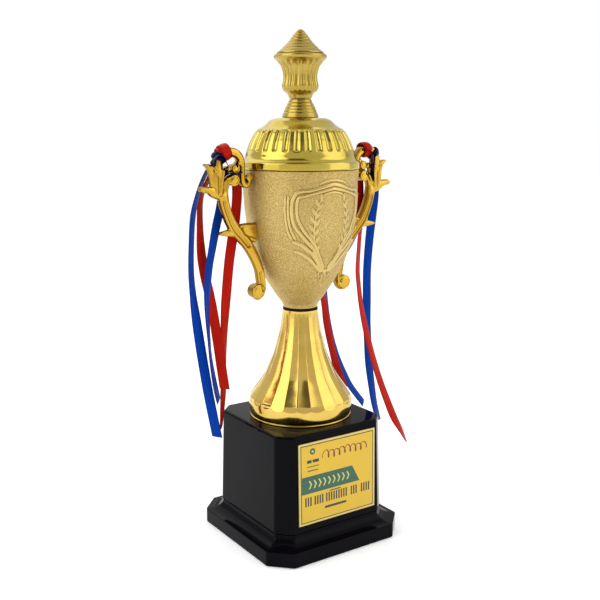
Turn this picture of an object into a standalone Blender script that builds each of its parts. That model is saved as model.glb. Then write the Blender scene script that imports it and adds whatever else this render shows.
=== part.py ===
"""Cup trophy: weighted plastic plinth, fluted bell stem, lidded cup, two scrolled handles and ribbons.

Frame: metres, +Z up, origin on the table under the middle of the foot. The name plate faces -Y and
the handles lie in the XZ plane. The lid and its finial lift off along +Z.
"""

import math

import bmesh
import bpy
from mathutils import Matrix, Vector

MM = 0.001

# Driving dimensions, in millimetres.
GAP = 0.3
HEIGHT = 330.0
FOOT_HALF = 52.2
FOOT_CORNER = 22.0
RIM_HEIGHT = 10.0
FOOT_TOP = 17.2
BLOCK_HALF = 41.95
BLOCK_CORNER = 15.0
BLOCK_DRAFT = 0.0203
BLOCK_TOP = 81.2
BLOCK_WALL = 2.6
PLATE_WIDTH = 60.2
PLATE_BOTTOM = 22.5
PLATE_TOP = 76.3
PLATE_THICKNESS = 0.8
PAD_THICKNESS = 2.0
BALLAST_HEIGHT = 38.0
BELL_TOP = 152.6
GASKET_THICKNESS = 1.1
CUP_BOTTOM = BELL_TOP + GASKET_THICKNESS + 2 * GAP
CUP_FLOOR = 160.0
CUP_RIM = 243.8
LID_SEAT = CUP_RIM + GAP
LID_TOP = 275.6
FINIAL_WAIST = 287.6
URN_TOP = 315.0
ROD_RADIUS = 3.0
ROD_HOLE = 3.4
STUD_RADIUS = 2.0
STUD_HOLE = 2.4
SCREW_RADIUS = 1.25
SCREW_HEIGHT = 208.3
RIBBON_WIDTH = 6.35
RIBBON_BAND = 1.0
CORNER_EDGE = 3.0
EDGE_POINTS = 3
CORNER_POINTS = 2 * EDGE_POINTS
ROUND_SIDES = 24
CUP_SIDES = 36
BELL_FLUTES = 24
LID_FLUTES = 30
URN_FLUTES = 20
STATIONS_PER_POINT = 1.4

# Turned outlines as (radius, height), from the top down the outer side.
CUP_OUTSIDE = [
    (36.9, CUP_RIM), (36.8, 231.0), (36.1, 219.0), (34.6, 207.0), (32.2, 195.5), (29.0, 186.0),
    (25.0, 177.0), (20.7, 169.5), (16.8, 163.5), (12.3, 157.4), (11.2, 155.2), (11.2, CUP_BOTTOM),
]
CUP_INSIDE = [
    (11.5, CUP_FLOOR), (17.4, 168.0), (23.2, 177.2), (27.3, 186.2), (30.5, 195.7), (32.9, 207.0),
    (34.5, 219.0), (35.2, 231.0), (35.3, CUP_RIM),
]
BELL_OUTSIDE = [
    (11.7, BELL_TOP), (11.7, 151.2), (13.1, 141.9), (14.9, 133.7), (17.0, 125.5), (20.2, 117.2),
    (23.8, 108.9), (29.4, 100.6), (32.9, 95.4), (34.4, 91.2), (34.4, 87.0), (33.6, 83.2),
    (34.2, 82.9), (34.2, BLOCK_TOP + GAP),
]
BELL_INSIDE = [
    (31.6, BLOCK_TOP + GAP), (32.2, 90.0), (27.2, 100.6), (18.2, 117.4), (12.9, 134.0),
    (10.4, 148.6), (ROD_HOLE, 148.6), (ROD_HOLE, BELL_TOP),
]
LID_OUTSIDE = [
    (16.6, LID_TOP), (19.4, 274.3), (22.8, 271.2), (26.7, 268.6), (28.8, 266.6), (30.9, 263.2),
    (32.7, 259.5), (34.1, 255.7), (38.2, 247.8), (38.2, LID_SEAT),
]
LID_INSIDE = [
    (34.7, LID_SEAT), (34.7, 241.5), (33.4, 241.5), (33.4, 252.5), (30.0, 262.0), (26.6, 266.4),
    (17.2, 274.1), (STUD_HOLE, 274.1), (STUD_HOLE, LID_TOP),
]
FINIAL_BASE_OUTSIDE = [
    (6.8, FINIAL_WAIST), (7.3, 286.4), (8.3, 284.4), (9.6, 281.9), (10.6, 279.4), (11.3, 277.6),
    (11.5, LID_TOP + GAP),
]
URN_OUTSIDE = [
    (15.0, URN_TOP), (16.2, 314.6), (16.7, 313.5), (16.3, 312.2), (15.0, 311.1), (12.3, 307.7),
    (10.7, 302.2), (11.5, 296.1), (11.3, 294.2), (8.6, 291.0), (7.4, 288.9), (7.0, FINIAL_WAIST + GAP),
]
CAP_OUTSIDE = [
    (0.0, HEIGHT), (1.4, 329.6), (2.6, 328.4), (5.1, 325.6), (7.7, 322.2), (11.4, 318.6),
    (13.2, 317.0), (14.6, 316.1), (14.8, URN_TOP + GAP),
]

# Handle strokes as (x, z, half width), and the half thickness of each.
HANDLE_STROKES = {
    "stem": (3.2, [
        (57.6, 231.0, 3.4), (56.0, 222.6, 3.2), (53.0, 214.6, 3.3), (49.4, 208.2, 3.7), (45.0, 203.4, 3.7),
        (40.6, 198.2, 3.5), (36.9, 192.5, 3.3), (34.0, 186.9, 3.1), (32.0, 181.5, 2.9), (31.0, 176.1, 2.9),
        (30.3, 171.0, 2.8), (30.6, 166.4, 2.3), (32.6, 163.9, 1.8), (35.0, 163.4, 1.4),
    ]),
    "thorn": (2.4, [(47.5, 206.0, 3.0), (53.0, 206.0, 2.4), (57.5, 205.8, 1.5), (60.8, 205.7, 0.5)]),
    "bracket": (3.0, [(48.5, 205.2, 4.0), (44.0, 206.6, 4.6), (39.5, 206.4, 5.2), (33.5, 205.0, 6.6)]),
    "leaf_low": (2.7, [
        (58.5, 229.8, 3.6), (63.0, 231.2, 3.6), (67.0, 232.6, 2.3), (70.2, 233.1, 2.0), (72.0, 233.2, 1.8),
        (73.0, 233.3, 1.0),
    ]),
    "leaf_high": (2.5, [
        (60.5, 230.0, 3.2), (62.6, 235.6, 3.2), (63.2, 240.6, 3.1), (64.6, 244.6, 2.7), (67.0, 246.8, 1.6),
        (69.6, 247.9, 0.6),
    ]),
    "arch": (3.4, [
        (60.4, 231.0, 3.0), (60.9, 239.6, 3.2), (60.8, 246.8, 3.3), (59.7, 251.4, 3.2), (56.7, 254.5, 3.1),
        (52.3, 255.2, 3.0), (48.2, 254.3, 2.8), (45.2, 251.4, 2.4), (44.0, 247.4, 1.8), (44.2, 242.4, 1.7),
        (44.0, 238.4, 1.8), (42.8, 235.6, 1.9), (40.7, 234.9, 1.8), (39.2, 236.6, 1.7),
    ]),
    "curl": (2.9, [(44.8, 250.0, 1.6), (46.8, 248.2, 1.6), (48.4, 246.6, 1.6)]),
    "c_scroll": (2.8, [
        (57.6, 228.0, 2.9), (56.4, 233.2, 2.7), (55.0, 236.8, 2.5), (52.8, 239.2, 2.3), (50.4, 239.6, 2.1),
    ]),
    "finger": (3.7, [(60.0, 229.0, 1.5), (58.9, 238.0, 1.4), (57.6, 244.6, 1.6)]),
    "bud": (2.4, [(58.2, 243.6, 1.4), (55.8, 244.8, 1.3), (53.4, 245.4, 1.3)]),
}
# Round scroll ends as (x, z, radius, half thickness).
HANDLE_DISCS = {
    "foot_disc": (34.0, 167.7, 4.7, 3.9),
    "rim_disc": (39.4, 239.8, 2.6, 3.8),
    "curl_disc": (49.2, 245.2, 2.8, 3.8),
    "bud_disc": (54.2, 245.0, 1.9, 3.0),
    "c_disc": (50.2, 238.2, 3.6, 3.6),
}

# Where each ribbon is looped round its arch, as the stretch between two arch points.
LOOP_STRETCH = {
    "left": {"blue": (2.9, 3.3), "red": (3.42, 4.7)},
    "right": {"blue": (3.14, 3.64), "red": (4.4, 5.6)},
}

# Ribbon routes as (x, y, z, width direction in degrees from +X), from the loop down.
RIBBON_ROUTES = {
    "left_blue_outer": [
        (-61.5, 7.2, 247.0, 35), (-65.6, 8.6, 239.0, 38), (-69.4, 9.2, 229.3, 36), (-72.7, 9.4, 217.3, 32),
        (-74.2, 9.4, 202.1, 32), (-74.9, 9.5, 183.5, 30), (-74.0, 9.5, 167.8, 24), (-72.0, 9.6, 151.6, 2),
        (-69.1, 9.9, 131.9, -14), (-66.3, 10.3, 115.0, -24), (-63.3, 10.5, 97.8, -30),
        (-58.3, 10.5, 71.9, -34),
    ],
    "left_red_outer": [
        (-55.5, 12.4, 246.0, 30), (-60.2, 13.6, 237.0, 34), (-64.9, 14.1, 225.9, 32),
        (-66.5, 12.6, 207.4, 24), (-65.5, 13.3, 191.7, 2), (-63.4, 13.4, 178.8, -10),
        (-61.5, 12.0, 167.8, -16), (-59.5, 10.1, 152.6, -20), (-57.2, 8.6, 132.5, -24),
        (-55.2, 8.9, 118.9, -24), (-52.6, 9.6, 103.7, -20),
    ],
    "left_blue_inner": [
        (-51.8, 7.0, 244.0, -5), (-53.0, 7.0, 233.0, 0), (-54.9, 7.0, 222.0, 6), (-58.4, 7.0, 208.7, 8),
        (-61.4, 7.0, 195.2, 14), (-63.7, 7.5, 182.8, 16), (-65.0, 7.8, 167.1, 24), (-65.0, 7.9, 151.0, 38),
        (-64.6, 7.2, 138.0, 46), (-64.1, 6.6, 127.0, 46), (-62.9, 5.6, 115.0, 40), (-61.3, 5.3, 105.6, 36),
        (-59.2, 5.9, 97.7, 38),
    ],
    "left_red_inner": [
        (-44.5, 7.4, 244.0, -20), (-42.6, 7.6, 231.5, -14), (-43.7, 8.0, 215.9, -14),
        (-46.0, 7.7, 203.5, -22), (-48.9, 7.9, 186.5, -16), (-50.8, 8.8, 165.6, -12),
        (-50.3, 12.2, 149.6, 6), (-49.8, 14.3, 136.6, 22), (-50.3, 14.5, 123.5, 28),
        (-50.7, 14.5, 110.2, 28), (-51.2, 14.6, 96.9, 28), (-53.0, 14.6, 75.8, 46),
    ],
    "right_blue_outer": [
        (65.0, 8.6, 246.0, -20), (67.6, 8.8, 235.0, -24), (68.4, 9.0, 223.8, -26), (67.0, 9.2, 209.9, -18),
        (65.0, 9.5, 192.4, -14), (63.8, 10.0, 171.1, -10), (63.8, 9.8, 149.5, -12), (63.7, 9.3, 134.9, -6),
        (63.8, 8.1, 120.0, -4), (64.4, 7.3, 104.9, -4), (65.8, 5.9, 89.6, 4), (67.8, 4.4, 73.9, 12),
        (71.1, 3.3, 61.0, 24),
    ],
    "right_red_outer": [
        (61.5, 5.8, 244.0, 10), (63.0, 5.8, 231.0, 20), (60.4, 5.6, 217.0, 28), (54.9, 6.2, 203.0, 30),
        (52.6, 5.6, 186.6, 28), (51.7, 5.3, 172.5, 26), (51.5, 3.5, 161.8, 26), (51.5, 1.2, 150.9, 24),
        (52.3, -1.2, 139.7, 18), (53.7, -3.6, 128.4, 14), (55.5, -6.2, 117.0, 16), (58.1, -8.4, 105.3, 14),
        (61.1, -10.9, 93.4, 12), (65.2, -12.9, 81.1, 8), (69.8, -15.2, 68.5, 6), (74.9, -18.1, 57.8, 30),
        (78.9, -18.8, 49.7, 52),
    ],
    "right_red_inner": [
        (54.6, 9.6, 244.0, 10), (57.0, 10.6, 231.0, 6), (56.6, 11.0, 213.0, 4), (52.7, 18.4, 193.0, 8),
        (46.0, 28.2, 174.0, 16), (43.0, 34.1, 156.0, 18), (45.0, 34.6, 142.6, 10), (46.5, 34.4, 131.4, 4),
        (48.5, 33.5, 120.0, 4), (50.9, 32.4, 108.5, 6), (53.6, 31.2, 96.8, -6), (56.6, 30.6, 88.0, -8),
        (59.9, 29.9, 79.6, -8),
    ],
    "right_blue_inner": [
        (58.6, 9.0, 244.0, 40), (61.2, 9.4, 231.0, 44), (60.8, 9.4, 216.0, 44), (59.4, 12.0, 205.0, 42),
        (58.2, 16.2, 195.0, 38), (57.0, 23.0, 185.0, 32), (54.0, 31.0, 175.0, 26), (48.6, 38.8, 158.0, 20),
        (49.4, 39.5, 141.0, 14), (52.6, 39.4, 124.0, 12), (55.9, 38.7, 111.0, 12), (59.6, 36.9, 99.0, 12),
        (64.0, 35.2, 88.6, 14), (68.7, 33.4, 79.0, 16), (77.0, 28.7, 66.0, 17),
    ],
}

for old in list(bpy.data.objects):
    bpy.data.objects.remove(old, do_unlink=True)


def material(name, colour, roughness, metallic):
    """A Principled material with one colour."""
    made = bpy.data.materials.new(name)
    made.use_nodes = True
    shader = made.node_tree.nodes["Principled BSDF"]
    shader.inputs["Base Color"].default_value = (*colour, 1.0)
    shader.inputs["Roughness"].default_value = roughness
    shader.inputs["Metallic"].default_value = metallic
    return made


def add_object(name, bm, finish, cutter=False):
    """Turns a bmesh in millimetres into a named object in metres, faces outward."""
    bmesh.ops.recalc_face_normals(bm, faces=bm.faces)
    bmesh.ops.scale(bm, vec=Vector((MM, MM, MM)), verts=bm.verts)
    mesh = bpy.data.meshes.new(name)
    bm.to_mesh(mesh)
    bm.free()
    mesh.shade_smooth()
    mesh.set_sharp_from_angle(angle=math.radians(35))
    made = bpy.data.objects.new(name, mesh)
    bpy.context.scene.collection.objects.link(made)
    if finish is not None:
        mesh.materials.append(finish)
    if cutter:
        made.hide_render = True
        made.display_type = "WIRE"
    return made


def combine(target, other, operation, solver="EXACT"):
    """Joins or cuts one object with another through a Boolean modifier."""
    step = target.modifiers.new(other.name, "BOOLEAN")
    step.operation = operation
    step.solver = solver
    step.object = other


def loft(rings, closed):
    """Skins rings of equal point counts. A ring of one point is a tip."""
    bm = bmesh.new()
    rows = [[bm.verts.new(point) for point in ring] for ring in rings]
    pairs = list(zip(rows, rows[1:]))
    if closed:
        pairs.append((rows[-1], rows[0]))
    for first, second in pairs:
        count = max(len(first), len(second))
        for index in range(count):
            following = (index + 1) % count
            corners = [
                first[index % len(first)], first[following % len(first)],
                second[following % len(second)], second[index % len(second)],
            ]
            bm.faces.new(list(dict.fromkeys(corners)))
    if not closed:
        for row in (rows[0], rows[-1]):
            if len(row) > 2:
                bm.faces.new(row)
    return bm


def circle_ring(radius, height, sides, flutes=0, depth=0.0):
    """A round ring, or one whose radius dips by depth between flutes."""
    if radius == 0.0:
        return [Vector((0.0, 0.0, height))]
    ring = []
    for index in range(sides):
        angle = 2 * math.pi * index / sides
        dip = depth * (0.5 - 0.5 * math.cos(flutes * angle))
        ring.append(Vector(((radius - dip) * math.cos(angle), (radius - dip) * math.sin(angle), height)))
    return ring


def hole_ring(radius, height):
    """A round ring with the point count of a square ring."""
    count = 4 * CORNER_POINTS
    angles = [2 * math.pi * (index + 0.5) / count for index in range(count)]
    return [Vector((radius * math.cos(angle), radius * math.sin(angle), height)) for angle in angles]


def square_ring(half, corner, height):
    """A square ring whose corners are cut flat, on the tangent of a round corner of that radius.

    The two edges of each cut are softened to CORNER_EDGE.
    """
    ring = []
    cut = (2 - math.sqrt(2)) * corner
    near = half - cut - CORNER_EDGE * math.tan(math.pi / 8)
    far = half - CORNER_EDGE
    for quarter in range(4):
        turn = Matrix.Rotation(quarter * math.pi / 2, 3, "Z")
        for edge, centre in enumerate((Vector((far, near, height)), Vector((near, far, height)))):
            for step in range(EDGE_POINTS):
                angle = math.pi / 4 * (edge + step / (EDGE_POINTS - 1))
                reach = Vector((math.cos(angle), math.sin(angle), 0.0))
                ring.append(turn @ (centre + CORNER_EDGE * reach))
    return ring


def hexagon_ring(across_flats, height):
    """A hexagon with four points to a side, to face a round ring of ROUND_SIDES points."""
    ring = []
    for index in range(ROUND_SIDES):
        angle = 2 * math.pi * index / ROUND_SIDES
        local = (angle + math.pi / 6) % (math.pi / 3) - math.pi / 6
        reach = across_flats / 2 / math.cos(local)
        ring.append(Vector((reach * math.cos(angle), reach * math.sin(angle), height)))
    return ring


def turned(name, outline, finish, sides=ROUND_SIDES, closed=True, cutter=False):
    """A turned solid from a (radius, height) outline."""
    rings = [circle_ring(radius, height, sides) for radius, height in outline]
    return add_object(name, loft(rings, closed), finish, cutter)


def fluted(name, outside, inside, finish, flutes, depth_at):
    """A turned shell whose outer side carries flutes, two points to a flute."""
    sides = 2 * flutes
    rings = [circle_ring(radius, height, sides, flutes, depth_at(height)) for radius, height in outside]
    rings += [circle_ring(radius, height, sides) for radius, height in inside]
    return add_object(name, loft(rings, True), finish)


def washer(name, bottom, thickness, bore, outer, finish):
    """A flat ring."""
    outline = [(outer, bottom + thickness), (outer, bottom), (bore, bottom), (bore, bottom + thickness)]
    return turned(name, outline, finish)


def nut(name, bottom, thickness, bore, across_flats, finish):
    """A plain hexagon nut."""
    top = bottom + thickness
    rings = [
        hexagon_ring(across_flats, top), hexagon_ring(across_flats, bottom),
        circle_ring(bore, bottom, ROUND_SIDES), circle_ring(bore, top, ROUND_SIDES),
    ]
    return add_object(name, loft(rings, True), finish)


def rod(name, bottom, top, radius, chamfer, finish):
    """A plain round rod with chamfered ends."""
    outline = [
        (0.0, top), (radius - chamfer, top), (radius, top - chamfer),
        (radius, bottom + chamfer), (radius - chamfer, bottom), (0.0, bottom),
    ]
    return turned(name, outline, finish, closed=False)


def smooth_curve(points, position):
    """A Catmull-Rom curve through points, at a position counted in points."""
    last = len(points) - 1
    index = min(int(position), last - 1)
    part = position - index
    before, start, end, after = (Vector(points[min(max(index + k, 0), last)]) for k in (-1, 0, 1, 2))
    return 0.5 * (
        2 * start + (end - before) * part + (2 * before - 5 * start + 4 * end - after) * part ** 2
        + (3 * start - before - 3 * end + after) * part ** 3
    )


def section(centre, across, half_width, half_thickness, sides=8):
    """A soft-cornered section in the plane of across and Y."""
    ring = []
    for index in range(sides):
        angle = 2 * math.pi * (index + 0.5) / sides
        ring.append(
            centre + across * (half_width * math.cos(angle) / math.cos(math.pi / sides))
            + Vector((0.0, half_thickness * math.sin(angle) / math.cos(math.pi / sides), 0.0))
        )
    return ring


def stroke_sections(points, half_thickness, side, start, end, count, spare=0.0):
    """Sections along a handle stroke between two of its points. Side is 1 right, -1 left."""
    rings = []
    for index in range(count + 1):
        position = start + (end - start) * index / count
        here = smooth_curve(points, position)
        ahead = smooth_curve(points, min(position + 0.05, len(points) - 1))
        behind = smooth_curve(points, max(position - 0.05, 0.0))
        run = Vector((side * (ahead.x - behind.x), 0.0, ahead.y - behind.y)).normalized()
        across = Vector((run.z, 0.0, -run.x))
        centre = Vector((side * here.x, 0.0, here.y))
        rings.append(section(centre, across, here.z + spare, half_thickness + spare))
    return rings


def disc(name, x, z, radius, half_thickness, finish):
    """A round scroll end with its axis along Y."""
    outline = [(radius - 0.5, half_thickness), (radius, half_thickness - 0.5)]
    outline += [(reach, -height) for reach, height in reversed(outline)]
    rings = [
        [Vector((x + point.x, point.z, z + point.y)) for point in circle_ring(reach, height, 16)]
        for reach, height in outline
    ]
    return add_object(name, loft(rings, False), finish, cutter=True)


def cross_rod(name, x_start, x_end, z, radius, finish, cutter=False, head=None):
    """A rod along X, with a wider head at its start when head is (radius, thickness)."""
    outline = [(radius, x_end), (radius, x_start)]
    if head is not None:
        head_radius, thickness = head
        step = math.copysign(thickness, x_end - x_start)
        outline = [(radius, x_end), (radius, x_start + step), (head_radius, x_start + step), (head_radius, x_start)]
    rings = [
        [Vector((place, point.x, z + point.y)) for point in circle_ring(reach, 0.0, 16)]
        for reach, place in outline
    ]
    return add_object(name, loft(rings, False), finish, cutter)


def handle(side_name, side, finish, cup_clearance):
    """One scrolled handle: strokes and scroll ends joined, seated on the cup and drilled.

    The many crossing strokes need the MANIFOLD solver to stay closed.
    """
    name = f"handle_{side_name}"
    body = None
    for stroke, (half_thickness, points) in HANDLE_STROKES.items():
        last = len(points) - 1
        rings = stroke_sections(points, half_thickness, side, 0.0, last, round(STATIONS_PER_POINT * last))
        if body is None:
            body = add_object(name, loft(rings, False), finish)
        else:
            part = add_object(f"{name}_{stroke}", loft(rings, False), finish, cutter=True)
            combine(body, part, "UNION", solver="MANIFOLD")
    for scroll, (x, z, radius, half_thickness) in HANDLE_DISCS.items():
        part = disc(f"{name}_{scroll}", side * x, z, radius, half_thickness, finish)
        combine(body, part, "UNION", solver="MANIFOLD")
    pilot = cross_rod(f"{name}_pilot", side * 30.0, side * 43.4, SCREW_HEIGHT, SCREW_RADIUS + GAP, None, cutter=True)
    combine(body, cup_clearance, "DIFFERENCE", solver="MANIFOLD")
    combine(body, pilot, "DIFFERENCE", solver="MANIFOLD")
    return body


def ribbon_loop(name, side, stretch, finish):
    """A band of ribbon wound round the handle's arch."""
    half_thickness, points = HANDLE_STROKES["arch"]
    start, end = stretch
    outer = stroke_sections(points, half_thickness, side, start, end, 4, spare=GAP + RIBBON_BAND)
    inner = stroke_sections(points, half_thickness, side, start, end, 4, spare=GAP)
    return add_object(name, loft(outer + inner[::-1], True), finish)


def ribbon_tail(name, route, finish):
    """A hanging end of ribbon: a flat band swept along its route and turned as it goes."""
    last = len(route) - 1
    count = 2 * last
    rings = []
    for index in range(count + 1):
        position = last * index / count
        here = smooth_curve(route, position)
        ahead = smooth_curve(route, min(position + 0.05, last))
        behind = smooth_curve(route, max(position - 0.05, 0.0))
        run = Vector(ahead[:3]) - Vector(behind[:3])
        run.normalize()
        wide = Vector((math.cos(math.radians(here[3])), math.sin(math.radians(here[3])), 0.0))
        wide = (wide - run * wide.dot(run)).normalized()
        flat = run.cross(wide)
        centre = Vector(here[:3])
        rings.append([
            centre + wide * (a * RIBBON_WIDTH / 2) + flat * (b * RIBBON_BAND / 2)
            for a, b in ((1, 1), (-1, 1), (-1, -1), (1, -1))
        ])
    return add_object(name, loft(rings, False), finish)


def block_half(height):
    """The block's half size, which tapers upward by its draft."""
    return BLOCK_HALF + BLOCK_DRAFT * ((FOOT_TOP + BLOCK_TOP) / 2 - height)


def plinth(black, felt, iron, yellow):
    """The foot, the block on it, the weight inside, the pad under it and the name plate."""
    deck_bottom = FOOT_TOP - 3.0
    cove = 6.9
    foot_rings = [
        hole_ring(ROD_HOLE, deck_bottom), square_ring(39.5, 13.0, deck_bottom), square_ring(49.2, 19.0, 7.6),
        square_ring(FOOT_HALF - 3.0, 19.5, 0.4), square_ring(FOOT_HALF - 0.6, FOOT_CORNER - 0.6, 0.4),
        square_ring(FOOT_HALF, FOOT_CORNER, 1.0), square_ring(FOOT_HALF, FOOT_CORNER, RIM_HEIGHT - 0.6),
    ]
    for step in range(5):
        angle = math.radians(90 * step / 4)
        half = FOOT_HALF - 0.6 - 9.4 * math.sin(angle)
        corner = FOOT_CORNER - 0.6 - 6.0 * math.sin(angle)
        foot_rings.append(square_ring(half, corner, RIM_HEIGHT + cove * (1 - math.cos(angle))))
    foot_rings += [square_ring(block_half(FOOT_TOP), BLOCK_CORNER, FOOT_TOP), hole_ring(ROD_HOLE, FOOT_TOP)]
    add_object("plinth_foot", loft(foot_rings, True), black)

    bottom = FOOT_TOP + GAP
    inside = BLOCK_CORNER - BLOCK_WALL
    ceiling = BLOCK_TOP - BLOCK_WALL - 0.8
    block_rings = [
        hole_ring(ROD_HOLE, ceiling), square_ring(block_half(ceiling) - BLOCK_WALL, inside, ceiling),
        square_ring(block_half(bottom) - BLOCK_WALL, inside, bottom),
        square_ring(block_half(bottom), BLOCK_CORNER, bottom),
        square_ring(block_half(BLOCK_TOP - 2.6), BLOCK_CORNER, BLOCK_TOP - 2.6),
        square_ring(block_half(BLOCK_TOP) - 0.6, BLOCK_CORNER - 0.6, BLOCK_TOP - 1.0),
        square_ring(block_half(BLOCK_TOP) - 2.4, BLOCK_CORNER - 2.4, BLOCK_TOP),
        hole_ring(ROD_HOLE, BLOCK_TOP),
    ]
    add_object("plinth_block", loft(block_rings, True), black)

    pad_half = FOOT_HALF - 3.6
    pad_rings = [square_ring(pad_half, 18.9, PAD_THICKNESS), square_ring(pad_half, 18.9, 0.0)]
    add_object("bottom_pad", loft(pad_rings, False), felt)

    weight_half = 38.4
    weight_top = bottom + BALLAST_HEIGHT
    weight_rings = [
        hole_ring(ROD_HOLE + 0.4, weight_top), square_ring(weight_half, inside - 1.0, weight_top),
        square_ring(weight_half, inside - 1.0, bottom), hole_ring(ROD_HOLE + 0.4, bottom),
    ]
    add_object("ballast_weight", loft(weight_rings, True), iron)

    plate_rings = []
    for height in (PLATE_BOTTOM, PLATE_TOP):
        back = -block_half(height) - GAP
        front = back - PLATE_THICKNESS
        half = PLATE_WIDTH / 2
        plate_rings.append([
            Vector((half, back, height)), Vector((-half, back, height)),
            Vector((-half, front, height)), Vector((half, front, height)),
        ])
    add_object("name_plate", loft(plate_rings, False), yellow)


def column(gold_bright, gold_satin, rubber, steel):
    """The bell stem, gasket and cup, pulled together by the tie rod and its nuts."""
    deck_bottom = FOOT_TOP - 3.0
    washer_thickness = 1.2
    nut_thickness = 5.0
    lower_washer = deck_bottom - GAP - washer_thickness
    lower_nut = lower_washer - GAP - nut_thickness
    upper_washer = CUP_FLOOR + GAP
    upper_nut = upper_washer + washer_thickness + GAP
    washer("rod_washer_lower", lower_washer, washer_thickness, ROD_RADIUS + GAP, 8.0, steel)
    nut("rod_nut_lower", lower_nut, nut_thickness, ROD_RADIUS + GAP, 10.0, steel)
    washer("rod_washer_upper", upper_washer, washer_thickness, ROD_RADIUS + GAP, 8.0, steel)
    nut("rod_nut_upper", upper_nut, nut_thickness, ROD_RADIUS + GAP, 10.0, steel)
    rod("tie_rod", lower_nut - 2.2, upper_nut + nut_thickness + 2.2, ROD_RADIUS, 0.5, steel)

    def bell_depth(height):
        """Flutes fade in below the neck and end at a scalloped edge."""
        return 0.7 if 92.0 < height < 110.0 else 0.4 if 110.0 < height < 140.0 else 0.0

    fluted("stem_bell", BELL_OUTSIDE, BELL_INSIDE, gold_bright, BELL_FLUTES, bell_depth)
    washer("neck_gasket", BELL_TOP + GAP, GASKET_THICKNESS, ROD_HOLE, 11.5, rubber)

    outline = CUP_OUTSIDE + [(ROD_HOLE, CUP_BOTTOM), (ROD_HOLE, CUP_FLOOR)] + CUP_INSIDE
    cup = turned("cup_bowl", outline, gold_satin, sides=CUP_SIDES)
    for side_name, side in (("left", -1), ("right", 1)):
        hole = cross_rod(
            f"cup_hole_{side_name}", side * 28.0, side * 40.0, SCREW_HEIGHT, SCREW_RADIUS + GAP, None, cutter=True
        )
        combine(cup, hole, "DIFFERENCE")
        cross_rod(
            f"handle_screw_{side_name}", side * 30.8, side * 43.0, SCREW_HEIGHT, SCREW_RADIUS, steel, head=(2.5, 1.5)
        )


def handles(gold):
    """Both handles, seated against the cup's outer wall."""
    around = [(radius + GAP, height) for radius, height in CUP_OUTSIDE]
    outline = [(0.0, CUP_RIM + 2.0), (around[0][0], CUP_RIM + 2.0)] + around + [(0.0, CUP_BOTTOM)]
    clearance = turned("cup_clearance", outline, None, sides=CUP_SIDES, closed=False, cutter=True)
    for side_name, side in (("left", -1), ("right", 1)):
        handle(side_name, side, gold, clearance)


def lid(gold_pale, steel):
    """The lid, with the three finial pieces clamped on it by one stud."""

    def lid_depth(height):
        """Flutes between the smooth band and the shoulder."""
        return 0.8 if 256.0 < height < 268.0 else 0.0

    def urn_depth(height):
        """Flutes round the urn's body."""
        return 0.5 if 293.0 < height < 308.0 else 0.0

    fluted("lid_dome", LID_OUTSIDE, LID_INSIDE, gold_pale, LID_FLUTES, lid_depth)
    base_inside = [(STUD_HOLE, LID_TOP + GAP), (STUD_HOLE, FINIAL_WAIST)]
    turned("finial_base", FINIAL_BASE_OUTSIDE + base_inside, gold_pale)
    urn_inside = [(STUD_HOLE, FINIAL_WAIST + GAP), (STUD_HOLE, URN_TOP)]
    fluted("finial_urn", URN_OUTSIDE, urn_inside, gold_pale, URN_FLUTES, urn_depth)
    cap_bore = [(STUD_HOLE, URN_TOP + GAP), (STUD_HOLE, 321.0), (0.0, 321.0)]
    turned("finial_cap", CAP_OUTSIDE + cap_bore, gold_pale, closed=False)
    lid_ceiling = 274.1
    washer("finial_washer", lid_ceiling - GAP - 0.8, 0.8, STUD_RADIUS + GAP, 4.5, steel)
    nut("finial_nut", lid_ceiling - 2 * GAP - 4.0, 3.2, STUD_RADIUS + GAP, 7.0, steel)
    rod("finial_stud", lid_ceiling - 2 * GAP - 5.4, 320.4, STUD_RADIUS, 0.4, steel)


def ribbons(satin):
    """A red and a blue ribbon looped on each arch, with two tails to each."""
    for side_name, side in (("left", -1), ("right", 1)):
        for colour, stretch in LOOP_STRETCH[side_name].items():
            ribbon_loop(f"ribbon_loop_{side_name}_{colour}", side, stretch, satin[colour])
    for route_name, route in RIBBON_ROUTES.items():
        colour = route_name.split("_")[1]
        ribbon_tail(f"ribbon_tail_{route_name}", route, satin[colour])


GOLD_BRIGHT = material("gold_bright", (0.80, 0.55, 0.16), 0.12, 1.0)
GOLD_PALE = material("gold_pale", (0.86, 0.68, 0.22), 0.14, 1.0)
GOLD_SATIN = material("gold_satin", (0.68, 0.50, 0.22), 0.45, 1.0)
GOLD_HANDLE = material("gold_handle", (0.74, 0.52, 0.14), 0.2, 1.0)
BLACK = material("black_gloss", (0.012, 0.010, 0.012), 0.12, 0.0)
FELT = material("pad_felt", (0.02, 0.02, 0.02), 0.95, 0.0)
IRON = material("cast_iron", (0.12, 0.12, 0.12), 0.7, 0.8)
STEEL = material("zinc_steel", (0.55, 0.55, 0.53), 0.35, 1.0)
RUBBER = material("black_rubber", (0.015, 0.015, 0.015), 0.8, 0.0)
YELLOW = material("plate_yellow", (0.78, 0.55, 0.05), 0.3, 0.0)
SATIN = {
    "red": material("satin_red", (0.55, 0.01, 0.01), 0.45, 0.0),
    "blue": material("satin_blue", (0.01, 0.08, 0.42), 0.45, 0.0),
}

plinth(BLACK, FELT, IRON, YELLOW)
column(GOLD_BRIGHT, GOLD_SATIN, RUBBER, STEEL)
handles(GOLD_HANDLE)
lid(GOLD_PALE, STEEL)
ribbons(SATIN)
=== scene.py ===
"""Looks of the cup trophy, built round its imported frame.

Outlines and routes are in millimetres, in the frame's axes: +Z up, the name plate faces -Y and the
handles lie in the XZ plane. Finished meshes are in metres.
"""

import math

import bpy
import numpy as np
from mathutils import Matrix, Vector


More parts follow.
